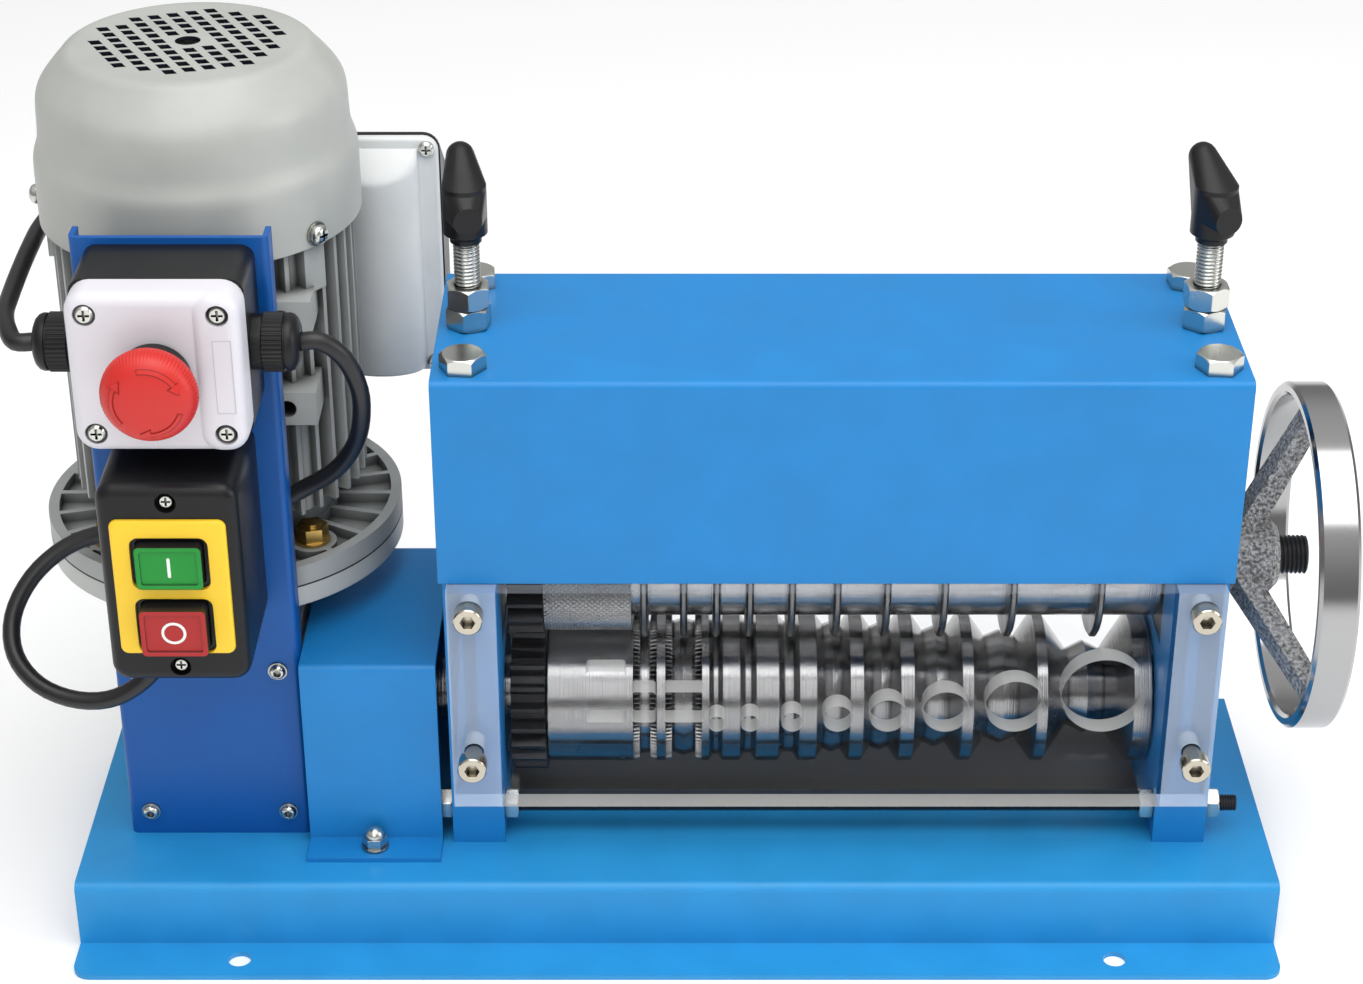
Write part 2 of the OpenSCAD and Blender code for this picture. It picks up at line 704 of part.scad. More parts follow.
// Capacitor box behind the motor's right side, with a bulged cover facing the front
cap_depth = 28;
cap_wall = 7;
cap_lid_t = 4;
cap_lid_inset = 0.75;
cap_lid_y = cap_front - cap_lid_t;
bulge_w = 42;
bulge_d = 13;
bulge_low = cap_z - cap_h / 2 + 3;
bulge_high = cap_z + cap_h / 2 - 6;
bulge_wall = 2.5;
cap_screw_at = [for (sx = [-1, 1], sz = [-1, 1])
    [cap_x + sx * (cap_w / 2 - 6), cap_z + sz * (cap_h / 2 - 6)]];
cap_screw_d = 4;
cap_cable = [cap_x - cap_w / 2, cap_front + 14.5, cap_z + 37];
module capacitor_box() {
    color(black) difference() {
        facing_front(cap_x, cap_front + cap_depth, cap_z) round_block(cap_w, cap_h, cap_depth, 7);
        facing_front(cap_x, cap_front + cap_depth - 3, cap_z)
            round_block(cap_w - 2 * cap_wall, cap_h - 2 * cap_wall, cap_depth, 5);
        for (p = cap_screw_at)
            facing_front(p[0], cap_front + 8, p[1]) cylinder(h = 9, d = cap_screw_d + 2 * tap_gap);
        rod_x(cap_cable[0] - 1, cap_cable[0] + cap_wall + 1, cap_cable[1], cap_cable[2],
              cable_d / 2 + tap_gap);
    }
}
// Half-oval bulge with a sloped top, grown forward from the cover's face and thinned all round
module cap_bulge(thin, sink) {
    w = bulge_w / 2 - thin;
    d = bulge_d - thin;
    low = bulge_low + thin;
    high = bulge_high - thin;
    translate([cap_x, cap_lid_y, 0]) intersection() {
        translate([0, 0, low]) linear_extrude(high - low)
            polygon(concat([[w, sink], [-w, sink]],
                           [for (a = [0 : 15 : 180]) [-w * cos(a), -d * sin(a)]]));
        section_x(-w, w) polygon([[sink, low], [-d, low], [-d, high - d], [0, high], [sink, high]]);
    }
}
module capacitor_cover() {
    lid_w = cap_w - 2 * cap_lid_inset;
    lid_h = cap_h - 2 * cap_lid_inset;
    color(light_grey) difference() {
        union() {
            facing_front(cap_x, cap_front, cap_z) round_block(lid_w, lid_h, cap_lid_t, 7);
            cap_bulge(0, cap_lid_t / 2);
        }
        cap_bulge(bulge_wall, cap_lid_t + 1);
        for (p = cap_screw_at)
            facing_front(p[0], cap_front + 1, p[1])
                cylinder(h = cap_lid_t + 2, d = cap_screw_d + 2 * tap_gap);
    }
}
module capacitor_screws() {
    color(zinc) for (p = cap_screw_at) facing_front(p[0], cap_lid_y, p[1]) {
        translate([0, 0, -cap_lid_t - 6]) cylinder(h = cap_lid_t + 7, d = cap_screw_d);
        pan_head(7.5, 2.8);
    }
}

// Emergency stop: black back box, white cover, collar, push rod and mushroom head
estop_z = deck_z + 264;
estop_cover_y = column_front - estop_back_d;
estop_face_y = estop_cover_y - estop_cover_d;
estop_wall = 3;
estop_screw_at = [for (sx = [-1, 1], sz = [-1, 1]) [motor_x + sx * 27, estop_z + sz * 27]];
estop_screw_d = 4;
plunger_r = 8;
collar_r = 15;
collar_t = 6;
mushroom_y = estop_face_y - collar_t - estop_travel - free_gap;
mushroom_t = 16;
module estop_back_box() {
    color(black) difference() {
        facing_front(motor_x, column_front, estop_z) round_block(estop_w, estop_w, estop_back_d, 6);
        facing_front(motor_x, column_front - estop_wall, estop_z)
            round_block(estop_w - 22, estop_w - 22, estop_back_d, 5);
        for (p = estop_screw_at)
            facing_front(p[0], estop_cover_y + 8, p[1]) cylinder(h = 9, d = estop_screw_d + 2 * tap_gap);
    }
}
module estop_cover() {
    color([0.93, 0.93, 0.94]) difference() {
        facing_front(motor_x, estop_cover_y, estop_z) {
            round_block(estop_w, estop_w, estop_cover_d - 1.2, 7);
            translate([estop_w / 4 + 3, 0, 0]) round_block(estop_w / 2 - 7, estop_w - 2, estop_cover_d, 6);
        }
        facing_front(motor_x, estop_cover_y + 1, estop_z)
            round_block(estop_w - 22, estop_w - 22, estop_cover_d - estop_wall + 1, 5);
        facing_front(motor_x, estop_cover_y, estop_z) cylinder(h = estop_cover_d + 1, r = collar_r - 3.5);
        for (p = estop_screw_at) facing_front(p[0], estop_cover_y + 1, p[1]) {
            cylinder(h = estop_cover_d + 2, d = estop_screw_d + 2 * tap_gap);
            translate([0, 0, estop_cover_d - 2.5]) cylinder(h = 6, d = 9.4);
        }
    }
}
module estop_screws() {
    color(zinc) for (p = estop_screw_at) facing_front(p[0], estop_cover_y, p[1]) {
        translate([0, 0, -7]) cylinder(h = estop_cover_d + 5, d = estop_screw_d);
        translate([0, 0, estop_cover_d - 3.5]) pan_head(8.4, 3);
    }
}
module estop_collar() {
    color(black) facing_front(motor_x, estop_face_y + estop_wall + 3, estop_z) difference() {
        union() {
            cylinder(h = estop_wall + 4, r = collar_r - 3.6);
            translate([0, 0, estop_wall + 3]) cylinder(h = collar_t, r = collar_r);
        }
        translate([0, 0, -1]) cylinder(h = estop_wall + collar_t + 6, r = plunger_r + run_gap);
    }
}
module estop_plunger() {
    color(black) {
        facing_front(motor_x, estop_face_y + estop_wall + 9, estop_z)
            cylinder(h = estop_face_y + estop_wall + 9 - mushroom_y + 8, r = plunger_r);
        facing_front(motor_x, estop_face_y + estop_wall + 9, estop_z) cylinder(h = 3, r = plunger_r + 2);
    }
}
module mushroom_head() {
    r = mushroom_d / 2;
    color([0.85, 0.2, 0.16]) facing_front(motor_x, mushroom_y, estop_z) rotate_extrude() difference() {
        polygon([[0, 0], [r - 4, 0], [r - 1, 2], [r, 4.5], [r, 7], [r - 1.2, 10.5], [r - 4, 13.3],
                 [r - 8, mushroom_t - 1], [r - 14, mushroom_t - 0.2], [0, mushroom_t]]);
        translate([0, -1]) square([plunger_r + run_gap, 9.5]);
    }
}

// Cable glands on both sides of the emergency stop box
gland_l = 20;
gland_y = column_front - 19;
module gland() {
    hex_prism(22, 6);
    translate([0, 0, 6]) rotate_extrude()
        polygon([[0, 0], [12.5, 0], [12.5, 8], [10.5, 11.5], [7.5, gland_l - 6], [0, gland_l - 6]]);
    for (a = [0 : 30 : 330]) rotate(a) translate([12, -1.5, 6.4]) cube([1.4, 3, 7]);
}
module cable_glands() {
    color(black) for (s = [0, 1]) translate([motor_x, gland_y, estop_z]) mirror([s, 0, 0])
        along_x(estop_w / 2, 0, 0) gland();
}

// Start and stop station
switch_z = deck_z + 168;
switch_face_y = column_front - switch_d;
plate_w = 49;
plate_hh = 65;
plate_thick = 2;
start_size = [28, 20];
stop_size = [28, 22];
start_z = switch_z + 12;
stop_z = switch_z - 18.5;
button_deep = 10;
well_deep = button_deep + button_travel + free_gap;
switch_screw_at = [switch_z - 40, switch_z + 40];
switch_screw_d = 4;
bezel = 2.2;
module button_well(size, z, y, d, gap) {
    facing_front(motor_x, y, z) round_block(size[0] + 2 * gap, size[1] + 2 * gap, d, 2 + gap);
}
module switch_box() {
    color(black) difference() {
        facing_front(motor_x, column_front, switch_z) {
            round_block(switch_w, switch_h, switch_d - 4, 7);
            translate([0, 0, switch_d - 5]) round_block(switch_w - 4, switch_h - 4, 5, 6);
        }
        button_well(start_size, start_z, switch_face_y + well_deep, well_deep + 2, free_gap);
        button_well(stop_size, stop_z, switch_face_y + well_deep, well_deep + 2, free_gap);
        for (z = switch_screw_at) facing_front(motor_x, switch_face_y + 4, z) {
            cylinder(h = 6, d = 9);
            translate([0, 0, -10]) cylinder(h = 12, d = switch_screw_d + 2 * tap_gap);
        }
    }
}
module switch_plate() {
    color([0.93, 0.76, 0.16]) difference() {
        facing_front(motor_x, switch_face_y, switch_z) round_block(plate_w, plate_hh, plate_thick, 3);
        button_well(start_size, start_z, switch_face_y + 1, plate_thick + 2, bezel);
        button_well(stop_size, stop_z, switch_face_y + 1, plate_thick + 2, bezel);
    }
}
module switch_screws() {
    color(zinc) for (z = switch_screw_at) facing_front(motor_x, switch_face_y + 4, z) {
        translate([0, 0, -9]) cylinder(h = 10, d = switch_screw_d);
        pan_head(7, 2.6);
    }
}
module push_button(size, z, proud_l) {
    facing_front(motor_x, switch_face_y + button_deep, z) difference() {
        round_block(size[0], size[1], button_deep + plate_thick + proud_l, 2);
        translate([0, 0, button_deep + plate_thick + proud_l - 0.8])
            round_block(size[0] - 4, size[1] - 4, 2, 1.2);
    }
}
start_proud = button_travel + 1;
stop_proud = button_travel + 3.5;
module start_button() {
    color([0.1, 0.6, 0.25]) push_button(start_size, start_z, start_proud);
}
module stop_button() {
    color([0.75, 0.17, 0.16]) push_button(stop_size, stop_z, stop_proud);
}

// Cables: a round tube swept along points chosen by hand, smoothed once between them
function unit(v) = v / norm(v);
function eased(p, i) = (9 * (p[i] + p[i + 1]) - p[max(i - 1, 0)] - p[min(i + 2, len(p) - 1)]) / 16;
function smooth(p) = [for (i = [0 : 2 * (len(p) - 1)]) i % 2 == 0 ? p[i / 2] : eased(p, (i - 1) / 2)];
function heading(p, i) = unit(p[min(i + 1, len(p) - 1)] - p[max(i - 1, 0)]);
module tube(points, d, up, sides = 10) {
    p = smooth(points);
    n = len(p);
    rings = [for (i = [0 : n - 1])
        let (t = heading(p, i), u = unit(cross(t, up)), v = cross(t, u))
        for (k = [0 : sides - 1]) p[i] + d / 2 * (u * cos(k * 360 / sides) + v * sin(k * 360 / sides))];
    walls = [for (i = [0 : n - 2], k = [0 : sides - 1])
        let (a = i * sides + k, b = i * sides + (k + 1) % sides)
        each [[a, b, b + sides], [a, b + sides, a + sides]]];
    ends = [[for (k = [sides - 1 : -1 : 0]) k], [for (k = [0 : sides - 1]) (n - 1) * sides + k]];
    polyhedron(rings, concat(walls, ends));
}
gland_left = [motor_x - estop_w / 2 - gland_l, gland_y, estop_z];
gland_right = [motor_x + estop_w / 2 + gland_l, gland_y, estop_z];
cable_entry = 4;
switch_under = [motor_x - 16, switch_face_y + 28, switch_z - switch_h / 2];
module estop_motor_cable() {
    color(black) tube(concat([gland_left, gland_left - [8, 0, 0]], [
        [-282, -48, 300], [-287, -30, 299], [-289, -8, 298], [-290, 16, 298], [-290, 40, 299],
        [-289, 62, 300], [-284, 84, 301], [-272, 104, 301], [-255, 118, 300.5], [-235, 126, 300],
        [-214, 128.5, 300]
    ], [cap_cable - [20, 0, 0], cap_cable + [cable_entry, 0, 0]]), cable_d, [0, 0, 1]);
}
module estop_switch_cable() {
    color(black) tube(concat([gland_right, gland_right + [8, 0, 0]], [
        [-140, -55, 290], [-135, -50, 273], [-136, -42, 254], [-141, -32, 236], [-151, -24, 220],
        [-166, -19, 208], [-184, -22, 199], [-203, -26, 193], [-222, -26, 189], [-240, -22, 186],
        [-257, -17, 184], [-275, -19, 178], [-290, -27, 167], [-298, -38, 153], [-296, -50, 140],
        [-284, -61, 131], [-266, -67, 127], [-248, -69, 130]
    ], [switch_under + [-3, 0, -13], switch_under]), cable_d, [0, 1, 0]);
}

// Feed roller: one turned piece with a smooth land, serrated rings and a groove under each blade
coupling_x = guard_mid;
roller_left = coupling_x + 1;
flank_slope = 0.7;
serration_n = 48;
serration_deep = 1.8;
ring_w = 3;
ring_lap = 0.5;
tooth_land = 0.3;
wide_groove = 12;
flat_slope = 0.3;
function groove(c, w, root, slope) =
    let (s = slope * (roller_r - root), ridge = w > wide_groove ? w / 10 : 0) [
        [roller_r, c - w / 2], [root, c - w / 2 + s], [root + ridge, c],
        [root, c + w / 2 - s], [roller_r, c + w / 2]
    ];
module feed_roller() {
    grooves = concat(
        [for (i = [1, 2]) each groove(flat_x(i), flat_feeds[i][3], flat_feeds[i][4], flat_slope)],
        [for (i = [0 : len(round_feeds) - 1])
            each groove(round_x(i), round_feeds[i][2], round_feeds[i][3], flank_slope)]);
    ring_xs = [
        [flat_x(1) - flat_feeds[1][3] / 2 - ring_w, flat_x(1) - flat_feeds[1][3] / 2 + ring_lap],
        [flat_x(1) + flat_feeds[1][3] / 2 - ring_lap, flat_x(2) - flat_feeds[2][3] / 2 + ring_lap],
        [flat_x(2) + flat_feeds[2][3] / 2 - ring_lap, round_x(0) - round_feeds[0][2] / 2 + ring_lap]
    ];
    color(steel) difference() {
        along_x(0, axis_y, roller_z) rotate_extrude() polygon(concat(
            [[0, roller_left], [journal_r, roller_left], [journal_r, land_x], [roller_r, land_x]],
            grooves,
            [[roller_r, roller_end], [journal_r, roller_end], [journal_r, head_right - 3],
             [0, head_right - 3]]));
        for (x = ring_xs) along_x(x[0], axis_y, roller_z) linear_extrude(x[1] - x[0]) difference() {
            circle(roller_r + 2);
            polygon([for (k = [0 : 2 * serration_n - 1])
                polar(roller_r + tooth_land - (k % 2) * serration_deep, (k + 0.5) * 180 / serration_n)]);
        }
    }
}

module lower_gear() {
    color(black) along_x(gear_x, axis_y, roller_z) linear_extrude(gear_w) difference() {
        gear_outline(gear_m, gear_teeth);
        circle(journal_r + tap_gap);
    }
}
module upper_gear() {
    color(black) along_x(gear_x, axis_y, blade_z) linear_extrude(gear_w) difference() {
        rotate(180 + 180 / gear_teeth) gear_outline(gear_m, gear_teeth);
        circle(blade_shaft_r + tap_gap);
    }
}

// Chain coupling between the gearbox shaft and the roller: two hubs and a double chain around them
hub_len = 24;
sprocket_r = 28;
chain_n = 16;
link_r = 32.3;
module coupling_half(bore) {
    rotate_extrude() translate([bore + tap_gap, 0]) {
        square([22 - bore, hub_len]);
        square([sprocket_r - bore - 2 * tap_gap, 8]);
    }
}
module chain_coupling() {
    color(mid_grey) {
        along_x(coupling_x + 0.5, axis_y, roller_z) coupling_half(journal_r);
        along_x(coupling_x - 0.5, axis_y, roller_z) mirror([0, 0, 1]) coupling_half(output_r);
    }
    color(black) along_x(coupling_x, axis_y, roller_z) {
        for (x = [-9.5, -0.75, 8]) translate([0, 0, x]) difference() {
            cylinder(h = 1.5, r = 37);
            translate([0, 0, -1]) cylinder(h = 4, r = sprocket_r);
        }
        for (a = [0 : 360 / chain_n : 359]) rotate(a) translate([link_r, 0, -9]) cylinder(h = 18, r = 3.8);
    }
}

// Worm wheel on the gearbox's output shaft
module worm_wheel() {
    color([0.72, 0.55, 0.28]) {
        along_x(motor_x - worm_wheel_w / 2, axis_y, roller_z)
            linear_extrude(worm_wheel_w) gear_outline(wheel_m, wheel_teeth);
        rod_x(output_left, coupling_x - 1, axis_y, roller_z, output_r);
    }
}

// Blade shaft with its knurled roller, blades and spacers
wheel_seat_r = 10;
hub_x = head_right + 5;
hub_l = 26;
thread_r = 8;
thread_end = hub_x + hub_l + 14;
module blade_shaft() {
    color(steel) along_x(0, axis_y, blade_z) rotate_extrude() polygon([
        [0, head_x + 1], [blade_shaft_r, head_x + 1], [blade_shaft_r, hub_x], [wheel_seat_r, hub_x],
        [wheel_seat_r, hub_x + hub_l], [thread_r, hub_x + hub_l], [thread_r, thread_end], [0, thread_end]]);
}
module knurled_roller() {
    color(steel) along_x(land_x, axis_y, blade_z) rotate_extrude() polygon([
        [blade_shaft_r + tap_gap, 0], [knurl_r - 1, 0], [knurl_r, 1], [knurl_r, land_w - 1],
        [knurl_r - 1, land_w], [blade_shaft_r + tap_gap, land_w]]);
}
edge_t = 0.4;
bevel = 8;
module stripping_blades() {
    color(steel) for (x = blade_xs) along_x(x, axis_y, blade_z) rotate_extrude() polygon([
        [blade_shaft_r + tap_gap, -blade_t / 2], [blade_r - bevel, -blade_t / 2], [blade_r, -edge_t / 2],
        [blade_r, edge_t / 2], [blade_r - bevel, blade_t / 2], [blade_shaft_r + tap_gap, blade_t / 2]]);
}
module blade_spacers() {
    starts = concat([land_x + land_w], [for (x = blade_xs) x + blade_t / 2]);
    ends = concat([for (x = blade_xs) x - blade_t / 2], [roller_end]);
    color(steel) for (i = [0 : len(starts) - 1])
        along_x(starts[i] + tap_gap, axis_y, blade_z) rotate_extrude()
            translate([blade_shaft_r + tap_gap, 0])
                square([spacer_r - blade_shaft_r - tap_gap, ends[i] - starts[i] - 2 * tap_gap]);
}

// Bearing blocks that slide in the plates' slots
module bearing_blocks() {
    color(black) for (x = [head_x, in_right]) difference() {
        translate([x + block_gap, axis_y - slot_w / 2 + block_gap, block_z])
            cube([plate_t - 2 * block_gap, slot_w - 2 * block_gap, block_h]);
        rod_x(x - 1, x + plate_t + 1, axis_y, blade_z, blade_shaft_r + run_gap);
    }
}

// Handwheel: turned rim on three dished spokes
rim_x = hub_x + 30;
spoke_w = 15;
spoke_t = 6;
rib_t = 5;
module spoke(w, t, lift) {
    hull() {
        translate([hub_r - 5, -w / 2, hub_l / 2 - 8 + lift]) cube([4, w, t]);
        translate([wheel_d / 2 - rim_t - 2, -w * 0.4, rim_x - hub_x + 3 + lift / 2]) cube([4, w * 0.8, t]);
    }
}
module handwheel() {
    r = wheel_d / 2;
    color(zinc) along_x(hub_x, axis_y, blade_z) difference() {
        union() {
            rotate_extrude() polygon([[0, 0], [hub_r - 2, 0], [hub_r, 2], [hub_r, hub_l - 3],
                                      [hub_r - 3, hub_l], [0, hub_l]]);
            translate([0, 0, rim_x - hub_x]) rotate_extrude() polygon([
                [r - rim_t, 1.5], [r - rim_t + 1.5, 0], [r - 1.5, 0], [r, 1.5], [r, wheel_w - 1.5],
                [r - 1.5, wheel_w], [r - rim_t + 1.5, wheel_w], [r - rim_t, wheel_w - 1.5]]);
            for (a = [60, 180, 300]) rotate(a) {
                spoke(spoke_w, spoke_t, 0);
                spoke(rib_t, spoke_t, spoke_t);
            }
        }
        translate([0, 0, -1]) cylinder(h = hub_l + 2, r = wheel_seat_r + tap_gap);
    }
}

// Motor rotor with its shaft and worm, and the fan on its upper end
fan_z = frame_top + 14;
fan_h = 26;
fan_r = 58;
module motor_rotor() {
    color(steel) translate([motor_x, motor_y, 0]) rotate_extrude() polygon([
        [0, deck_z + 6], [worm_r, deck_z + 6], [worm_r, deck_z + gearbox_body_h],
        [rotor_shaft_r, deck_z + gearbox_body_h], [rotor_shaft_r, core_z], [rotor_r, core_z],
        [rotor_r, core_z + core_h], [rotor_shaft_r, core_z + core_h], [rotor_shaft_r, fan_z + fan_h + 4],
        [0, fan_z + fan_h + 4]]);
}
module cooling_fan() {
    color([0.16, 0.2, 0.5]) translate([motor_x, motor_y, fan_z]) difference() {
        union() {
            cylinder(h = fan_h, r = 17);
            cylinder(h = 2.5, r = fan_r);
            for (a = [0 : 45 : 315]) rotate(a) translate([12, -1.2, 0]) cube([fan_r - 13, 2.4, fan_h - 4]);
        }
        translate([0, 0, -1]) cylinder(h = fan_h + 2, r = rotor_shaft_r + tap_gap);
    }
}

// Adjusters: stud on the bearing block, wing knob and jam nut, one set over each plate
stud_z = block_z + block_h + block_gap;
neck_z = hood_top + knob_z;
knob_bore = 15;
knob_r = 9.7;
wing_r = 6.3;
module stud(x) {
    color(zinc) translate([x, axis_y, stud_z]) cylinder(h = neck_z + knob_bore - 1 - stud_z, d = stud_d);
}
wing_front = wing_l / 2;
wing_rise = 20;
hub_top = 24;
module knob(x, turn) {
    color(black) translate([x, axis_y, neck_z]) rotate(turn) difference() {
        union() {
            rotate_extrude() polygon([[0, 0], [knob_r - 2.7, 0], [knob_r - 2.7, 2], [knob_r, 4],
                                      [knob_r, hub_top], [0, hub_top]]);
            hull() {
                translate([0, 4 - wing_front, hub_top - 10]) rotate([90, 0, 0])
                    cylinder(h = 4, r = wing_r, $fn = 24);
                translate([0, 0, hub_top - 12]) cylinder(h = 12, r = knob_r);
            }
            hull() {
                translate([0, 0, hub_top - 12]) cylinder(h = 14, r = knob_r);
                translate([0, wing_l - wing_front, hub_top - 10 + wing_rise]) sphere(r = wing_r, $fn = 24);
            }
        }
        translate([0, 0, -1]) cylinder(h = knob_bore + 1, d = stud_d + 2 * tap_gap);
    }
}
module jam_nut(x) {
    color(zinc) translate([x, axis_y, hood_top + nut_h + block_gap]) rotate(35)
        hex_nut(1.5 * stud_d, nut_h, stud_d + 2 * tap_gap);
}
module left_stud() {
    stud(plate_mid[0]);
}
module left_knob() {
    knob(plate_mid[0], 9);
}
module left_jam_nut() {
    jam_nut(plate_mid[0]);
}
module right_stud() {
    stud(plate_mid[1]);
}
module right_knob() {
    knob(plate_mid[1], 19);
}
module right_jam_nut() {
    jam_nut(plate_mid[1]);
}

base_channel();
control_column();
column_screws();
coupling_guard();
guard_nuts();
left_side_plate();
right_side_plate();
hood();
hood_bolts();
adjuster_nuts();
safety_window();
window_screws();
tie_rods();
tie_rod_nuts();
chip_tray();
roller_bearings();
gearbox_housing();
motor_end_shield();
flange_nuts();
motor_frame();
stator();
fan_cowl();
cowl_screws();
capacitor_box();
capacitor_cover();
capacitor_screws();
estop_back_box();
estop_cover();
estop_screws();
estop_collar();
cable_glands();
switch_box();
switch_plate();
switch_screws();
estop_motor_cable();
estop_switch_cable();
feed_roller();
lower_gear();
chain_coupling();
worm_wheel();
blade_shaft();
stripping_blades();
blade_spacers();
knurled_roller();
upper_gear();
handwheel();
bearing_blocks();
motor_rotor();
cooling_fan();
left_stud();
left_knob();
left_jam_nut();
right_stud();
right_knob();
right_jam_nut();
estop_plunger();
mushroom_head();
start_button();
stop_button();
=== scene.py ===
"""Looks of the bench wire stripping machine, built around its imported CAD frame.

Pieces are placed and sized in millimetres, materials and the stage in metres.
"""

import math

import bpy
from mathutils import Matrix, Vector


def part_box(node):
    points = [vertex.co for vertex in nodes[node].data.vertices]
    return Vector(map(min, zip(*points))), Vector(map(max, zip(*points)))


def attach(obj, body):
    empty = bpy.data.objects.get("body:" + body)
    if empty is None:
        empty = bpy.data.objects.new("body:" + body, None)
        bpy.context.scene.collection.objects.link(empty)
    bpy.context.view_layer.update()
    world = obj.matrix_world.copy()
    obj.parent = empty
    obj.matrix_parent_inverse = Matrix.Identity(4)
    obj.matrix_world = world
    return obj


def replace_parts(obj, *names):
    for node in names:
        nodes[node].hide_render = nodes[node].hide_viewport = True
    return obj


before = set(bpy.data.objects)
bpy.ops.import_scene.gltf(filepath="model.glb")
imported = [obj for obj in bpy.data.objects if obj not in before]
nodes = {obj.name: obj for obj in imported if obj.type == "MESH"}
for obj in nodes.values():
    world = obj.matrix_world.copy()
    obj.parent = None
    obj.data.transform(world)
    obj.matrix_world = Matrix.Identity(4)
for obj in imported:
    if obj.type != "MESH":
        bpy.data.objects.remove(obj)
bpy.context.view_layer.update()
MM = 0.001
SIDES = (-1, 1)

# Places that the CAD source fixes
MOTOR_X, MOTOR_Y = -213, 49
AXIS_Y, ROLLER_Z, BLADE_Z = 9, 86, 158
ESTOP_Z = 299
STUDS = {"left": (-92, 9), "right": (233, 9)}
WINDOW_X, HEAD_SPAN = 70.5, 301
WINDOW_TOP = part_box("safety_window")[1].z / MM
CAP_X, CAP_Z, CAP_W, CAP_H, CAP_FACE = -142, 263, 62, 122, 110


def srgb(r, g, b):
    """Linear colour of an sRGB triple from 0 to 255."""
    return tuple(c / 12.92 if c <= 0.04045 else ((c + 0.055) / 1.055) ** 2.4
                 for c in (r / 255, g / 255, b / 255))


# Camera: level, looking down, with a long lens
LOOK_DOWN = 28.7
SENSOR, PHOTO_WIDTH, FOCAL_PIXELS = 36, 1363, 2903
camera = bpy.data.objects.new("camera", bpy.data.cameras.new("camera"))
camera.location = (0.002, -1.154, 0.8275)
camera.rotation_euler = (math.radians(90 - LOOK_DOWN), 0, 0)
camera.data.sensor_width = SENSOR
camera.data.lens = SENSOR * FOCAL_PIXELS / PHOTO_WIDTH
bpy.context.scene.collection.objects.link(camera)
bpy.context.scene.camera = camera


# Materials
MIX_FIRST, MIX_SECOND, MIX_RESULT = 6, 7, 2  # colour sockets of the Mix node
FLOAT_FIRST, FLOAT_SECOND = 2, 3  # number sockets of the Mix node
GRAIN_DEEP = 0.0004
LATHE_PITCH = 0.0006


def material(name, color, rough, metal=0.0, **sockets):
    """Principled material. Other sockets are named with _ for spaces."""
    made = bpy.data.materials.new(name)
    made.use_nodes = True
    shader = shader_of(made)
    shader.inputs["Base Color"].default_value = (*color, 1)
    shader.inputs["Roughness"].default_value = rough
    shader.inputs["Metallic"].default_value = metal
    for socket, value in sockets.items():
        shader.inputs[socket.replace("_", " ")].default_value = value
    return made


def shader_of(mat):
    return mat.node_tree.nodes["Principled BSDF"]


def wire(mat, socket, value):
    """Link an input to another socket, or set it to a value."""
    if isinstance(value, bpy.types.NodeSocket):
        mat.node_tree.links.new(value, socket)
    else:
        socket.default_value = value


def node(mat, kind, **sockets):
    """New shader node with its input sockets set or linked, by name."""
    made = mat.node_tree.nodes.new("ShaderNode" + kind)
    for socket, value in sockets.items():
        wire(mat, made.inputs[socket.replace("_", " ")], value)
    return made


def coordinates(mat, kind="Object"):
    """Object coordinates, which are the row frame's at rest, or another kind, such as Normal."""
    return node(mat, "TexCoord").outputs[kind]


def split(mat, kind="Object"):
    """X, Y and Z of a kind of coordinates."""
    return node(mat, "SeparateXYZ", Vector=coordinates(mat, kind)).outputs


def math_node(mat, operation, a, b=0.0):
    made = mat.node_tree.nodes.new("ShaderNodeMath")
    made.operation = operation
    wire(mat, made.inputs[0], a)
    wire(mat, made.inputs[1], b)
    return made.outputs[0]


def distance_from(mat, *axis):
    """Distance from an axis, given by the numbers of two coordinates with their places."""
    xyz = split(mat)
    away = [math_node(mat, "SUBTRACT", xyz[i], at * MM) for i, at in axis]
    squares = [math_node(mat, "POWER", d, 2.0) for d in away]
    return math_node(mat, "SQRT", math_node(mat, "ADD", *squares))


def noise(mat, scale, detail=3.0):
    return node(mat, "TexNoise", Vector=coordinates(mat), Scale=scale, Detail=detail).outputs["Fac"]


def relief(mat, height, strength, distance, edge=0.0):
    """Bump from a height, over edges rounded by the shader where edge is a radius."""
    made = node(mat, "Bump", Height=height, Strength=strength, Distance=distance)
    if edge:
        rounded = node(mat, "Bevel", Radius=edge)
        rounded.samples = 4
        wire(mat, made.inputs["Normal"], rounded.outputs[0])
    wire(mat, shader_of(mat).inputs["Normal"], made.outputs[0])


def uneven_gloss(mat, value, low, high):
    """Roughness from a noise value stretched to a range."""
    ramp = node(mat, "MapRange", Value=value, From_Min=0.3, From_Max=0.7, To_Min=low, To_Max=high)
    wire(mat, shader_of(mat).inputs["Roughness"], ramp.outputs[0])


def mottle(mat, value, low, high):
    """Base colour between two colours by a noise value."""
    ramp = node(mat, "ValToRGB", Fac=value)
    for stop, position, color in zip(ramp.color_ramp.elements, (0.3, 0.7), (low, high)):
        stop.position = position
        stop.color = (*color, 1)
    wire(mat, shader_of(mat).inputs["Base Color"], ramp.outputs[0])


def two_tone(mat, factor, first, second):
    """Base colour between two, each a colour or a socket, by a factor."""
    mix = node(mat, "Mix", Factor=factor)
    mix.data_type = "RGBA"
    for index, tone in ((MIX_FIRST, first), (MIX_SECOND, second)):
        wire(mat, mix.inputs[index], tone if isinstance(tone, bpy.types.NodeSocket) else (*tone, 1))
    wire(mat, shader_of(mat).inputs["Base Color"], mix.outputs[MIX_RESULT])


def base_color(mat):
    """The socket that feeds a material's base colour."""
    return shader_of(mat).inputs["Base Color"].links[0].from_socket


def shaded(color, share):
    return tuple(c * share for c in color)


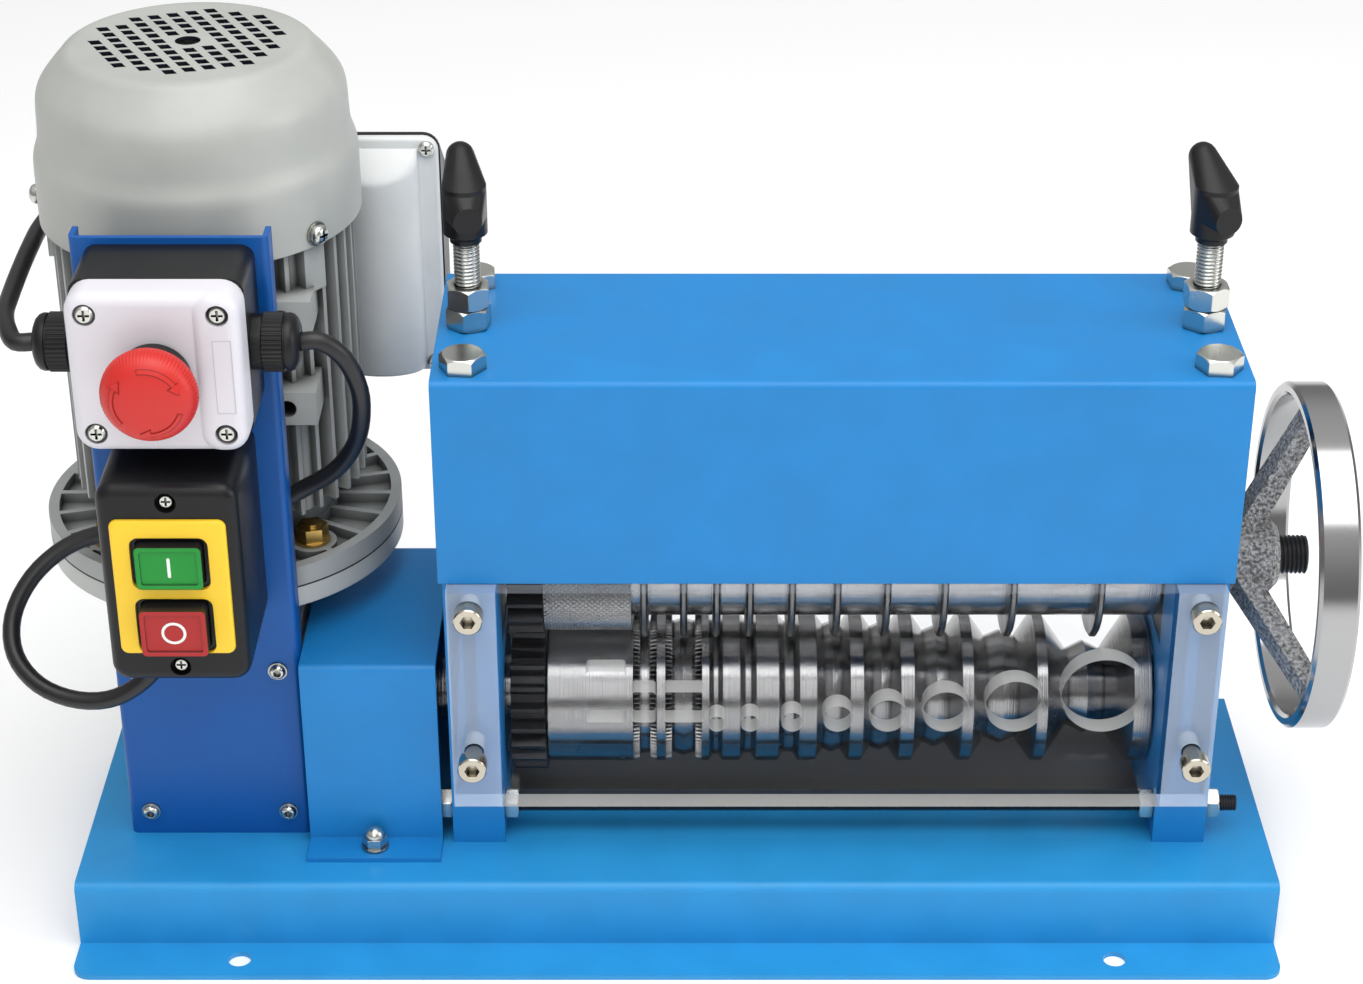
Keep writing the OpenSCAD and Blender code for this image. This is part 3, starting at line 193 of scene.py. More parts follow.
def finish(name, color, rough, metal=0.0, grain=700, bump=0.08, stir=0.06, tint=0.05, edge=0.0004,
           **sockets):
    """Material with a fine grain, uneven gloss and faint colour drift."""
    made = material(name, color, rough, metal, **sockets)
    relief(made, noise(made, grain), bump, GRAIN_DEEP, edge)
    drift = noise(made, 35, 5)
    uneven_gloss(made, drift, max(0.02, rough - stir), rough + stir)
    mottle(made, drift, shaded(color, 1 - tint), shaded(color, 1 + tint))
    return made


def paint(name, color):
    """Smooth blue sheet-metal paint."""
    return finish(name, color, 0.4, grain=1400, bump=0.05, Specular_IOR_Level=0.35)


def grey_paint(name, color):
    """Motor paint, a little coarser."""
    return finish(name, color, 0.42, grain=1100, bump=0.06)


def painted_recess_shade(mat, reach):
    """Paint shade into the recesses of a material, such as sockets and slots, within a reach: the base colour
    darkens where ambient occlusion finds the surface enclosed.
    """
    open_sky = node(mat, "AmbientOcclusion", Color=(1, 1, 1, 1), Distance=reach)
    open_sky.samples = 6
    share = math_node(mat, "POWER", open_sky.outputs["AO"], 1.6)
    two_tone(mat, share, (0.02, 0.02, 0.02), base_color(mat))
    return mat


def turned(name, color, rough):
    """Metal with fine lathe lines around an axis along X."""
    made = material(name, color, rough, 1.0)
    lines = node(made, "TexNoise", Scale=1 / LATHE_PITCH, Detail=2.0)
    lines.noise_dimensions = "1D"
    wire(made, lines.inputs["W"], split(made)[0])
    relief(made, lines.outputs["Fac"], 0.25, 0.0002, 0.0003)
    uneven_gloss(made, noise(made, 60), rough - 0.05, rough + 0.08)
    mottle(made, lines.outputs["Fac"], shaded(color, 0.88), shaded(color, 1.05))
    return made


BLUE = paint("blue_paint", srgb(26, 126, 194))
COLUMN_BLUE = paint("column_paint", srgb(8, 84, 160))
# Lighter copy of the blue paint for the base, which wears the same paint as the head: painted light.
LIT_BASE_BLUE = paint("blue_paint_lit_for_base", srgb(40, 144, 206))
# Zinc, nickel, roller steel, cast frame and knurl get painted shade in their recesses.
ZINC = painted_recess_shade(finish("bright_zinc", srgb(205, 206, 200), 0.24, 1.0, grain=900, bump=0.05), 0.003)
NICKEL = painted_recess_shade(finish("nickel", srgb(192, 184, 168), 0.2, 1.0, grain=900, bump=0.05), 0.003)
YELLOW_ZINC = finish("yellow_zinc", srgb(196, 164, 96), 0.3, 1.0, tint=0.2)
BLACK_STEEL = finish("black_oxide", srgb(44, 44, 46), 0.4, 0.7, tint=0.15)
TURNED = turned("turned_steel", srgb(168, 168, 169), 0.2)
# Darker copy of the turned steel for the feed roller, as painted shade from the hood over it.
SHADED_ROLLER_STEEL = painted_recess_shade(turned("turned_steel_shaded_for_roller", srgb(152, 152, 153), 0.2), 0.0018)
BLADE_STEEL = turned("blade_steel", srgb(120, 120, 121), 0.3)
GREY_PAINT = grey_paint("light_grey_paint", srgb(190, 192, 188))
# Lighter copy of the motor's grey paint for the capacitor lid, which wears the same paint as the cowl: painted
# light.
LIT_LID_GREY = grey_paint("grey_paint_lit_for_lid", srgb(216, 218, 217))
FRAME_GREY = painted_recess_shade(finish("cast_grey_paint", srgb(166, 169, 167), 0.5, bump=0.2, tint=0.08), 0.009)
SEAM_DARK = finish("seam_dark", srgb(38, 38, 38), 0.7)
BRONZE = finish("bronze", srgb(176, 132, 70), 0.35, 1.0)
WINDING = finish("varnished_winding", srgb(120, 66, 36), 0.4, 0.3, tint=0.2)
BLACK_PLASTIC = finish("black_plastic", srgb(20, 20, 22), 0.36, grain=2200, bump=0.12, tint=0.1,
                       Specular_IOR_Level=0.3)
WHITE_PLASTIC = finish("white_plastic", srgb(216, 214, 220), 0.36, grain=2200, bump=0.04, tint=0.02)
RED_PLASTIC = finish("red_plastic", srgb(200, 36, 28), 0.42, grain=2600, bump=0.12, tint=0.04)
YELLOW_PLASTIC = finish("yellow_plastic", srgb(246, 203, 40), 0.38, grain=2200, bump=0.05, tint=0.03)
FAN_BLUE = finish("fan_blue", srgb(36, 40, 110), 0.45)
CABLE_BLACK = finish("cable_sheath", srgb(22, 22, 24), 0.38, grain=1500, tint=0.1)
# Dark grey tray behind the window, standing in for the shaded deck there: painted shade.
DECK_SHADE_TRAY = finish("tray_dark_for_deck_shade", srgb(74, 74, 75), 0.45, 0.2, tint=0.12)
WHITE_MARK = finish("white_mark", srgb(235, 240, 235), 0.5, tint=0.02)
FIELD_GREY = finish("field_grey", srgb(190, 188, 196), 0.4, tint=0.02, edge=0)
# Darker red for the rims round the mushroom's arrows: painted shadow.
ARROW_SHADOW_RED = finish("arrow_shadow_red_plastic", srgb(150, 22, 18), 0.5, tint=0.04)
KNURL = painted_recess_shade(finish("knurled_steel", srgb(165, 165, 165), 0.3, 1.0, edge=0), 0.0016)


def cast_wheel():
    """Rough cast metal that turns into a polished rim away from the handwheel's axis."""
    cast_r = 73.8
    made = material("cast_with_polished_rim", srgb(170, 170, 168), 0.4)
    shader = shader_of(made)
    radius = distance_from(made, (1, AXIS_Y), (2, BLADE_Z))
    rough_cast = math_node(made, "LESS_THAN", radius, cast_r * MM)
    grains = noise(made, 620, 6)
    relief(made, math_node(made, "MULTIPLY", grains, rough_cast), 1.0, 0.0025)
    for socket, polished, cast in (("Roughness", 0.16, 0.6), ("Metallic", 1.0, 0.25)):
        ramp = node(made, "MapRange", Value=rough_cast, To_Min=polished, To_Max=cast)
        wire(made, shader.inputs[socket], ramp.outputs[0])
    pebbles = node(made, "MapRange", Value=grains, From_Min=0.35, From_Max=0.65, To_Min=0.1, To_Max=0.5)
    tone = node(made, "Mix", Factor=rough_cast)
    wire(made, tone.inputs[FLOAT_FIRST], 0.4)
    wire(made, tone.inputs[FLOAT_SECOND], pebbles.outputs[0])
    wire(made, shader.inputs["Base Color"], tone.outputs[0])
    return made


def acrylic():
    """Clear sheet: hazy and blue where it lies on the side plates, with pale frosted walls in its holes that
    grow whiter where they face up, as a painted highlight.
    """
    plate_tone = srgb(214, 230, 248)
    wall_tone = srgb(202, 202, 199)
    made = material("clear_acrylic", plate_tone, 0.05, IOR=1.49)
    shader = shader_of(made)
    facing = split(made, "Normal")
    xyz = split(made)
    edge = math_node(made, "LESS_THAN", math_node(made, "ABSOLUTE", facing[1]), 0.6)
    below_top = math_node(made, "LESS_THAN", xyz[2], (WINDOW_TOP - 1) * MM)
    hole = math_node(made, "MULTIPLY", edge, below_top)
    across = math_node(made, "SUBTRACT", xyz[0], WINDOW_X * MM)
    over_plate = math_node(made, "GREATER_THAN", math_node(made, "ABSOLUTE", across), HEAD_SPAN / 2 * MM)
    two_tone(made, over_plate, wall_tone, plate_tone)
    clear = node(made, "MapRange", Value=over_plate, To_Min=0.03, To_Max=0.36)
    # Hole walls grow more opaque, so whiter, the more they face up: painted highlight on their frosted faces.
    painted_wall_shading = node(made, "MapRange", Value=facing[2], From_Min=-1.0, To_Min=0.22, To_Max=0.66)
    alpha = math_node(made, "MAXIMUM", clear.outputs[0], math_node(made, "MULTIPLY", hole, painted_wall_shading.outputs[0]))
    alpha = math_node(made, "MAXIMUM", alpha, math_node(made, "MULTIPLY", edge, 0.16))
    wire(made, shader.inputs["Alpha"], alpha)
    gloss = node(made, "MapRange", Value=edge, To_Min=0.04, To_Max=0.2)
    wire(made, shader.inputs["Roughness"], gloss.outputs[0])
    see_through = math_node(made, "SUBTRACT", 1.0, math_node(made, "MAXIMUM", edge, over_plate))
    wire(made, shader.inputs["Transmission Weight"], see_through)
    return made


def cowl_shaded_grey():
    """Grey paint in a darker copy of the motor's grey as painted shade, with painted shade in dark navy under
    the grille and on the walls of its holes.
    """
    grille_r = 46.5
    made = grey_paint("cowl_shaded_grey", srgb(172, 174, 169))
    radius = distance_from(made, (0, MOTOR_X), (1, MOTOR_Y))
    painted_wall_shading = math_node(made, "MULTIPLY", math_node(made, "LESS_THAN", radius, grille_r * MM),
                     math_node(made, "LESS_THAN", split(made, "Normal")[2], 0.4))
    # Dark navy under the grille and on its hole walls: painted shade of the cowl's inside.
    two_tone(made, painted_wall_shading, base_color(made), srgb(20, 20, 34))
    return made


def button_cap(name, color):
    """Coloured face on a black push button, by the way its surface faces."""
    made = material(name, color, 0.3, Specular_IOR_Level=0.4)
    front = math_node(made, "LESS_THAN", split(made, "Normal")[1], -0.6)
    two_tone(made, front, srgb(30, 30, 32), color)
    relief(made, noise(made, 1500), 0.05, GRAIN_DEEP, 0.0004)
    return made


COWL_SHADED_GREY = cowl_shaded_grey()
LOOKS = {
    LIT_BASE_BLUE: ["base_channel"],
    BLUE: ["coupling_guard", "left_side_plate", "right_side_plate", "hood"],
    COLUMN_BLUE: ["control_column"],
    ZINC: ["column_screws", "guard_nuts", "hood_bolts", "adjuster_nuts", "tie_rod_nuts", "cowl_screws",
           "capacitor_screws", "estop_screws", "switch_screws", "left_stud", "left_jam_nut", "right_stud",
           "right_jam_nut"],
    NICKEL: ["window_screws"],
    YELLOW_ZINC: ["flange_nuts"],
    BLADE_STEEL: ["stripping_blades"],
    BLACK_STEEL: ["tie_rods", "lower_gear", "upper_gear", "chain_coupling", "bearing_blocks"],
    TURNED: ["feed_roller", "blade_shaft", "blade_spacers", "roller_bearings", "motor_rotor"],
    KNURL: ["knurled_roller"],
    GREY_PAINT: ["fan_cowl", "capacitor_cover", "gearbox_housing"],
    FRAME_GREY: ["motor_frame", "motor_end_shield"],
    BRONZE: ["worm_wheel"],
    WINDING: ["stator"],
    BLACK_PLASTIC: ["capacitor_box", "estop_back_box", "estop_collar", "cable_glands", "switch_box",
                    "left_knob", "right_knob", "estop_plunger"],
    WHITE_PLASTIC: ["estop_cover"],
    RED_PLASTIC: ["mushroom_head"],
    YELLOW_PLASTIC: ["switch_plate"],
    button_cap("green_button", srgb(4, 140, 44)): ["start_button"],
    button_cap("red_button", srgb(170, 30, 30)): ["stop_button"],
    FAN_BLUE: ["cooling_fan"],
    CABLE_BLACK: ["estop_motor_cable", "estop_switch_cable"],
    # The chip tray's dark grey is painted shade of the deck behind the window.
    DECK_SHADE_TRAY: ["chip_tray"],
    cast_wheel(): ["handwheel"],
    acrylic(): ["safety_window"],
}
for mat, names in LOOKS.items():
    for name in names:
        for slot in nodes[name].material_slots:
            slot.material = mat


# Cables, on the routes that the CAD source gives them
def smooth_line(points, steps=4):
    """Points on a smooth curve through the given ones."""
    ends = [points[0], *points, points[-1]]
    line = []
    for a, b, c, d in zip(ends, ends[1:], ends[2:], ends[3:]):
        for k in range(steps):
            t = k / steps
            line.append(0.5 * (2 * b + (c - a) * t + (2 * a - 5 * b + 4 * c - d) * t * t
                               + (3 * b - a - 3 * c + d) * t ** 3))
    return [*line, points[-1]]


def cable(name, points, diameter=8):
    """Cable along a smooth line through points."""
    line = [p * MM for p in smooth_line([Vector(p) for p in points])]
    curve = bpy.data.curves.new(name, "CURVE")
    curve.dimensions = "3D"
    curve.bevel_depth = diameter / 2 * MM
    curve.bevel_resolution = 5
    curve.use_fill_caps = True
    spline = curve.splines.new("POLY")
    spline.points.add(len(line) - 1)
    for point, at in zip(spline.points, line):
        point.co = (*at, 1)
    lead = bpy.data.objects.new(name, curve)
    bpy.context.scene.collection.objects.link(lead)
    curve.materials.append(CABLE_BLACK)
    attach(lead, "frame")
    return lead


motor_lead = cable("motor_lead", [
    (-269, -57.5, 299), (-277, -57.5, 299), (-282, -48, 300), (-287, -30, 299), (-289, -8, 298),
    (-290, 16, 298), (-290, 40, 299), (-289, 62, 300), (-284, 84, 301), (-272, 104, 301),
    (-255, 118, 300.5), (-235, 126, 300), (-214, 128.5, 300), (-193, 128.5, 300), (-169, 128.5, 300)])
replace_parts(motor_lead, "estop_motor_cable")
switch_lead = cable("switch_lead", [
    (-157, -57.5, 299), (-149, -57.5, 299), (-140, -55, 290), (-135, -50, 273), (-136, -42, 254),
    (-141, -32, 236), (-151, -24, 220), (-166, -19, 208), (-184, -22, 199), (-203, -26, 193),
    (-222, -26, 189), (-240, -22, 186), (-257, -17, 184), (-275, -19, 178), (-290, -27, 167),
    (-298, -38, 153), (-296, -50, 140), (-284, -61, 131), (-266, -67, 127), (-248, -69, 130),
    (-232, -68.5, 142), (-229, -68.5, 155)])
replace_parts(switch_lead, "estop_switch_cable")


# Shapes as lists of points and faces, and pieces made from them
def piece(name, verts, faces, mat, body, slot, smooth=True):
    """Mesh piece from points in millimetres, riding on a body."""
    mesh = bpy.data.meshes.new(name)
    mesh.from_pydata([Vector(v) * MM for v in verts], [], faces)
    mesh.materials.append(mat)
    mesh.polygons.foreach_set("use_smooth", [smooth] * len(mesh.polygons))
    made = bpy.data.objects.new(name, mesh)
    bpy.context.scene.collection.objects.link(made)
    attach(made, body)
    return made


def crisp(made, angle=38):
    """Smooth shading that breaks at sharp edges."""
    made.data.set_sharp_from_angle(angle=math.radians(angle))
    return made


def carved(made, cutters):
    """Cut closed skins, given as points and faces in millimetres, out of a piece."""
    tools = []
    for verts, faces in cutters:
        mesh = bpy.data.meshes.new("cutter")
        mesh.from_pydata([Vector(v) * MM for v in verts], [], faces)
        tools.append(bpy.data.objects.new("cutter", mesh))
        bpy.context.scene.collection.objects.link(tools[-1])
        cut = made.modifiers.new("cut", "BOOLEAN")
        cut.object = tools[-1]
        cut.operation = "DIFFERENCE"
        cut.solver = "EXACT"
    bpy.context.view_layer.update()
    result = made.evaluated_get(bpy.context.evaluated_depsgraph_get())
    made.data = bpy.data.meshes.new_from_object(result)
    made.modifiers.clear()
    for tool in tools:
        bpy.data.objects.remove(tool)
    made.data.polygons.foreach_set("use_smooth", [True] * len(made.data.polygons))
    return crisp(made)


def joined(meshes):
    """One list of points and faces from several."""
    verts, faces = [], []
    for more_verts, more_faces in meshes:
        faces += [tuple(i + len(verts) for i in face) for face in more_faces]
        verts += more_verts
    return verts, faces


def lofted(rings, looped=False):
    """Closed skin over rings of equal count: capped, or with its last ring joined to the first."""
    n, count = len(rings[0]), len(rings)
    faces = []
    for j in range(count if looped else count - 1):
        here, beyond = j * n, (j + 1) % count * n
        faces += [(here + k, here + (k + 1) % n, beyond + (k + 1) % n, beyond + k) for k in range(n)]
    if not looped:
        faces += [tuple(range(n - 1, -1, -1)), tuple(range((count - 1) * n, count * n))]
    return [p for ring in rings for p in ring], faces


def circle(r, sides):
    """Points round a circle about the origin."""
    turns = [math.tau * k / sides for k in range(sides)]
    return [(r * math.cos(a), r * math.sin(a)) for a in turns]


def outline(w, h, r, steps=6):
    """Points round a rectangle with rounded corners."""
    points = []
    for sx, sz, start in ((1, 1, 0), (-1, 1, 90), (-1, -1, 180), (1, -1, 270)):
        for k in range(steps + 1):
            a = math.radians(start + 90 * k / steps)
            points.append((sx * (w / 2 - r) + r * math.cos(a), sz * (h / 2 - r) + r * math.sin(a)))
    return points


def soft_box(x, z, back, front, w, h, corner, edge, steps=5):
    """Box facing the front, from Y back to front, its front edge rounded to a radius."""
    rings = [[(x + u, back, z + v) for u, v in outline(w, h, corner)]]
    for k in range(steps + 1):
        a = math.radians(90 * k / steps)
        inset = edge * (1 - math.cos(a))
        y = front + edge * (1 - math.sin(a))
        rim = outline(w - 2 * inset, h - 2 * inset, max(corner - inset, 0.4))
        rings.append([(x + u, y, z + v) for u, v in rim])
    return lofted(rings)


def disc_y(x, z, back, front, r, sides=40):
    """Disc facing the front, from Y back to front."""
    return lofted([[(x + u, y, z + v) for u, v in circle(r, sides)] for y in (back, front)])


def thread_mesh(start, along, radius, pitch, length, sides=20, rows=6):
    """Rod with a helical V thread along an axis: 0 for X, 2 for Z."""
    deep = 0.55 * pitch
    turns = int(length / pitch * rows)
    rings = []
    for j in range(turns + 1):
        at = length * j / turns
        ring = []
        for k in range(sides):
            phase = (at / pitch - k / sides) % 1
            r = radius - deep * (1 - abs(2 * phase - 1))
            u, v = r * math.cos(math.tau * k / sides), r * math.sin(math.tau * k / sides)
            ring.append(Vector(start) + Vector((at, u, v) if along == 0 else (u, v, at)))
        rings.append(ring)
    return lofted(rings)


# Threads of the adjusters' studs, the tie rods and the end of the blade shaft
STUD_R, STUD_PITCH = 6, 1.75
ROD_R, ROD_PITCH, ROD_Z = 4, 1.25, 51
SHAFT_R, SHAFT_PITCH, SHAFT_FROM, SHAFT_LONG = 9.2, 2, 276.3, 13.9
for side, (x, y) in STUDS.items():
    low, high = (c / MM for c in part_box(side + "_stud"))
    rod = thread_mesh((x, y, low.z), 2, STUD_R, STUD_PITCH, high.z - low.z)
    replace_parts(piece(side + "_thread", *rod, ZINC, side + "_adjuster", "zinc"), side + "_stud")

low, high = (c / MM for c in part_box("tie_rods"))
rods = joined(thread_mesh((low.x, y, ROD_Z), 0, ROD_R, ROD_PITCH, high.x - low.x, sides=14, rows=5)
              for y in (low.y + ROD_R, high.y - ROD_R))
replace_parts(piece("tie_rod_threads", *rods, BLACK_STEEL, "frame", "black_steel"), "tie_rods")
shaft = thread_mesh((SHAFT_FROM, AXIS_Y, BLADE_Z), 0, SHAFT_R, SHAFT_PITCH, SHAFT_LONG)
piece("shaft_thread", *shaft, BLACK_STEEL, "blades", "black_steel")

# Emergency stop cover: soft shell with a raised band at its right, screw recesses and a stem hole
COVER_BACK, COVER_FACE, BAND_FACE, COVER_CUT = -73.5, -89.3, -90.5, -95
COVER_SIZE, COVER_CORNER, COVER_EDGE = 72, 9, 5
BAND_AT, BAND_W, BAND_H, BAND_CORNER = 25.5, 20.8, 71.6, 8.8
RECESS_AT, RECESS_R, STEM_R = 27, 4.7, 11.5
shell = soft_box(MOTOR_X, ESTOP_Z, COVER_BACK, COVER_FACE, COVER_SIZE, COVER_SIZE, COVER_CORNER, COVER_EDGE)
band = soft_box(MOTOR_X + BAND_AT, ESTOP_Z, COVER_BACK + 0.3, BAND_FACE, BAND_W, BAND_H, BAND_CORNER,
                COVER_EDGE)
cover = piece("estop_cover_shell", *joined([shell, band]), WHITE_PLASTIC, "frame", "white_plastic")
recesses = [disc_y(MOTOR_X + sx * RECESS_AT, ESTOP_Z + sz * RECESS_AT, COVER_FACE + 3, COVER_CUT, RECESS_R)
            for sx in SIDES for sz in SIDES]
carved(cover, [*recesses, disc_y(MOTOR_X, ESTOP_Z, COVER_BACK + 5, COVER_CUT, STEM_R)])
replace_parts(cover, "estop_cover")

# Outline of the empty field on the band
FIELD_X, FIELD_Z, FIELD_W, FIELD_H, LINE = MOTOR_X + 28, ESTOP_Z - 0.5, 7.5, 33, 0.4


def field_line(x, z, w, h):
    """Thin bar on the face of the band."""
    corners = [(x + i * w / 2, z + j * h / 2) for i, j in ((1, 1), (-1, 1), (-1, -1), (1, -1))]
    return lofted([[(u, y, v) for u, v in corners] for y in (BAND_FACE + 0.2, BAND_FACE - 0.1)])


field = [field_line(FIELD_X + s * FIELD_W / 2, FIELD_Z, LINE, FIELD_H) for s in SIDES]
field += [field_line(FIELD_X, FIELD_Z + s * FIELD_H / 2, FIELD_W, LINE) for s in SIDES]
piece("estop_field", *joined(field), FIELD_GREY, "frame", "white_plastic", smooth=False)

# Start and stop switch: soft box, plate with two windows, and the marks on its buttons
SWITCH_Z, SWITCH_BACK, SWITCH_FACE, SWITCH_CUT = 203, -38.5, -96.5, -100
SWITCH_W, SWITCH_H, SWITCH_CORNER, SWITCH_EDGE = 60, 96, 8, 5
SWITCH_SCREW, SWITCH_SCREW_R = 40, 4.5
PLATE_FACE, PLATE_CUT, PLATE_W, PLATE_H, PLATE_CORNER, PLATE_EDGE = -98.5, -102, 49, 65, 3.5, 1.4
START_Z, START_FACE = 215, -101.5
STOP_Z, STOP_FACE = 184.5, -104.0
WELL_W, WELL_DEEP, PLATE_WINDOW_W, SHARP = 28.8, 13.4, 33, 0.4
MARK_DEEP, MARK_EDGE = 0.45, 0.1
shell = soft_box(MOTOR_X, SWITCH_Z, SWITCH_BACK, SWITCH_FACE, SWITCH_W, SWITCH_H, SWITCH_CORNER, SWITCH_EDGE)
switch = piece("switch_shell", *shell, BLACK_PLASTIC, "frame", "black_plastic")
recesses = [disc_y(MOTOR_X, SWITCH_Z + s * SWITCH_SCREW, SWITCH_FACE + 4, SWITCH_CUT, SWITCH_SCREW_R)
            for s in SIDES]
wells = [soft_box(MOTOR_X, z, SWITCH_FACE + WELL_DEEP, SWITCH_CUT, WELL_W, h, 2, SHARP)
         for z, h in ((START_Z, 20.8), (STOP_Z, 22.8))]
carved(switch, recesses + wells)
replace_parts(switch, "switch_box")
shell = soft_box(MOTOR_X, SWITCH_Z, SWITCH_FACE + 0.1, PLATE_FACE, PLATE_W, PLATE_H, PLATE_CORNER, PLATE_EDGE)
plate = piece("switch_plate_shell", *shell, YELLOW_PLASTIC, "frame", "yellow_plastic")
carved(plate, [soft_box(MOTOR_X, z, SWITCH_FACE + 2, PLATE_CUT, PLATE_WINDOW_W, h, 4, SHARP)
               for z, h in ((START_Z, 25), (STOP_Z, 27))])
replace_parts(plate, "switch_plate")

bar = soft_box(MOTOR_X, START_Z, START_FACE, START_FACE - MARK_DEEP, 1.4, 9.5, 0.6, MARK_EDGE)
piece("start_mark", *bar, WHITE_MARK, "start", "white_plastic")
disc = soft_box(MOTOR_X, STOP_Z, STOP_FACE, STOP_FACE - MARK_DEEP, 10.6, 10.6, 5.2, MARK_EDGE)
carved(piece("stop_mark", *disc, WHITE_MARK, "stop", "white_plastic"),
       [disc_y(MOTOR_X, STOP_Z, STOP_FACE + 1, STOP_FACE - 2, 4.1)])

# Mushroom head: ridged edge and three moulded arrows, with painted shadow round the arrows
HEAD_BACK = -100.9
HEAD_PROFILE = [(8.1, 0), (14.5, 0), (17.6, 0.7), (19.3, 2.3), (20, 4.4), (20, 7), (19.5, 9.2), (18.3, 11.3),
                (16.4, 13.1), (14, 14.3), (11, 15.1), (7, 15.7), (3, 15.95), (0.05, 16)]
HEAD_FACE = HEAD_PROFILE[5:]
RIDGES, RIDGE_DEEP = 80, 0.45
ARROWS = (100, 220, 340)


def head_height(r):
    """Height of the mushroom's face at a radius."""
    for (r0, h0), (r1, h1) in zip(HEAD_FACE, HEAD_FACE[1:]):
        if r1 <= r <= r0:
            return h0 + (h1 - h0) * (r0 - r) / (r0 - r1)
    return HEAD_FACE[0][1]


def on_head(r, degrees, lift):
    """Point above the mushroom's face."""
    a = math.radians(degrees)
    return (MOTOR_X + r * math.cos(a), HEAD_BACK - head_height(r) - lift, ESTOP_Z + r * math.sin(a))


def arrow(start, grow, lift, sweep=66, tip=17, mid=14.2, half=0.75, wide=2.5, steps=14, sunk=-0.5):
    """Arc with an arrow tip, turning clockwise from a start angle, widened by grow."""
    turn = math.degrees(grow / mid)
    stations = [(start + turn - (sweep + turn) * k / steps, half + grow) for k in range(steps + 1)]
    stations += [(start - sweep + turn, wide + 1.6 * grow), (start - sweep - tip - turn, 0.1 + grow / 2)]
    return lofted([[on_head(mid + w, degrees, sunk), on_head(mid + w, degrees, lift),
                    on_head(mid - w, degrees, lift), on_head(mid - w, degrees, sunk)]
                   for degrees, w in stations])


rings = []
for r, h in HEAD_PROFILE:
    notch = RIDGE_DEEP if 3 < h < 9.5 and r > 19 else 0
    ring = []
    for k in range(4 * RIDGES):
        here = r - notch * (k % 4 < 2)
        a = math.tau * k / (4 * RIDGES)
        ring.append((MOTOR_X + here * math.cos(a), HEAD_BACK - h, ESTOP_Z + here * math.sin(a)))
    rings.append(ring)
head = crisp(piece("mushroom_shell", *lofted(rings), RED_PLASTIC, "estop_head", "red_plastic"))
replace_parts(head, "mushroom_head")
piece("mushroom_arrows", *joined(arrow(start, 0, 0.45) for start in ARROWS), RED_PLASTIC, "estop_head",
      "red_plastic", smooth=False)
# Wider, darker red rims under the arrows: painted shadow of the raised arrows.
piece("arrow_shadow_rims", *joined(arrow(start, 0.4, 0.12) for start in ARROWS), ARROW_SHADOW_RED, "estop_head",
      "red_plastic", smooth=False)

# Cable glands: hexagon, ribbed barrel and domed nut along X, as rows of place, radius and count of ribs
GLAND_Y, GLAND_FROM, GLAND_STEPS = -57.5, 36, 160
HEX_FLAT, RIB_DEEP = 11.6, 0.55
GLAND_ROWS = ((0, 12.4, 6), (4.2, 12.4, 6), (4.2, 11.2, 0), (4.5, 12.7, 40), (13, 12.7, 40), (13.2, 11.4, 0),
              (13.9, 11.4, 0), (14, 12.2, 0), (15.6, 12.3, 0), (17.2, 11.7, 0), (18.6, 10.2, 0), (19.5, 8, 0),
              (19.9, 5.6, 0), (19.6, 4.2, 0), (18, 4, 0))


def gland(side):
    """Skin of the gland on the left (-1) or right (1) of the emergency stop box."""
    rings = []
    for at, r, ribs in GLAND_ROWS:
        ring = []
        for k in range(GLAND_STEPS):
            a = math.tau * k / GLAND_STEPS
            if ribs == 6:
                here = min(r, HEX_FLAT / math.cos((a + math.pi / 6) % (math.pi / 3) - math.pi / 6))
            else:
                here = r - (RIB_DEEP if ribs and k % 4 < 2 else 0)
            ring.append((MOTOR_X + side * (GLAND_FROM + at), GLAND_Y + here * math.cos(a),
                         ESTOP_Z + side * here * math.sin(a)))
        rings.append(ring)
    return lofted(rings)


glands = joined(gland(side) for side in SIDES)
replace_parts(crisp(piece("gland_shells", *glands, BLACK_PLASTIC, "frame", "black_plastic")), "cable_glands")

# Feed roller: turned lands and grooves, with fine teeth on the shoulders of the two flat grooves
ROLLER_R, ROLLER_FROM, ROLLER_TO, JOURNAL_R, CHAMFER = 35, -60.5, 220, 15, 0.6
ROLLER_TEETH, TOOTH_DEEP, SHOULDER = 96, 1.7, 3
FLAT_GROOVES = ((-15, 11, 31.5, 0), (3, 17, 31, 1.7))
ROUND_GROOVES = ((18, 6.4, 32), (33, 7.6, 31.5), (52, 9.7, 31), (72.5, 15.6, 29.5), (95, 17.3, 28.5),
                 (121, 22.3, 26.5), (152, 29.5, 24), (191.5, 40, 18))


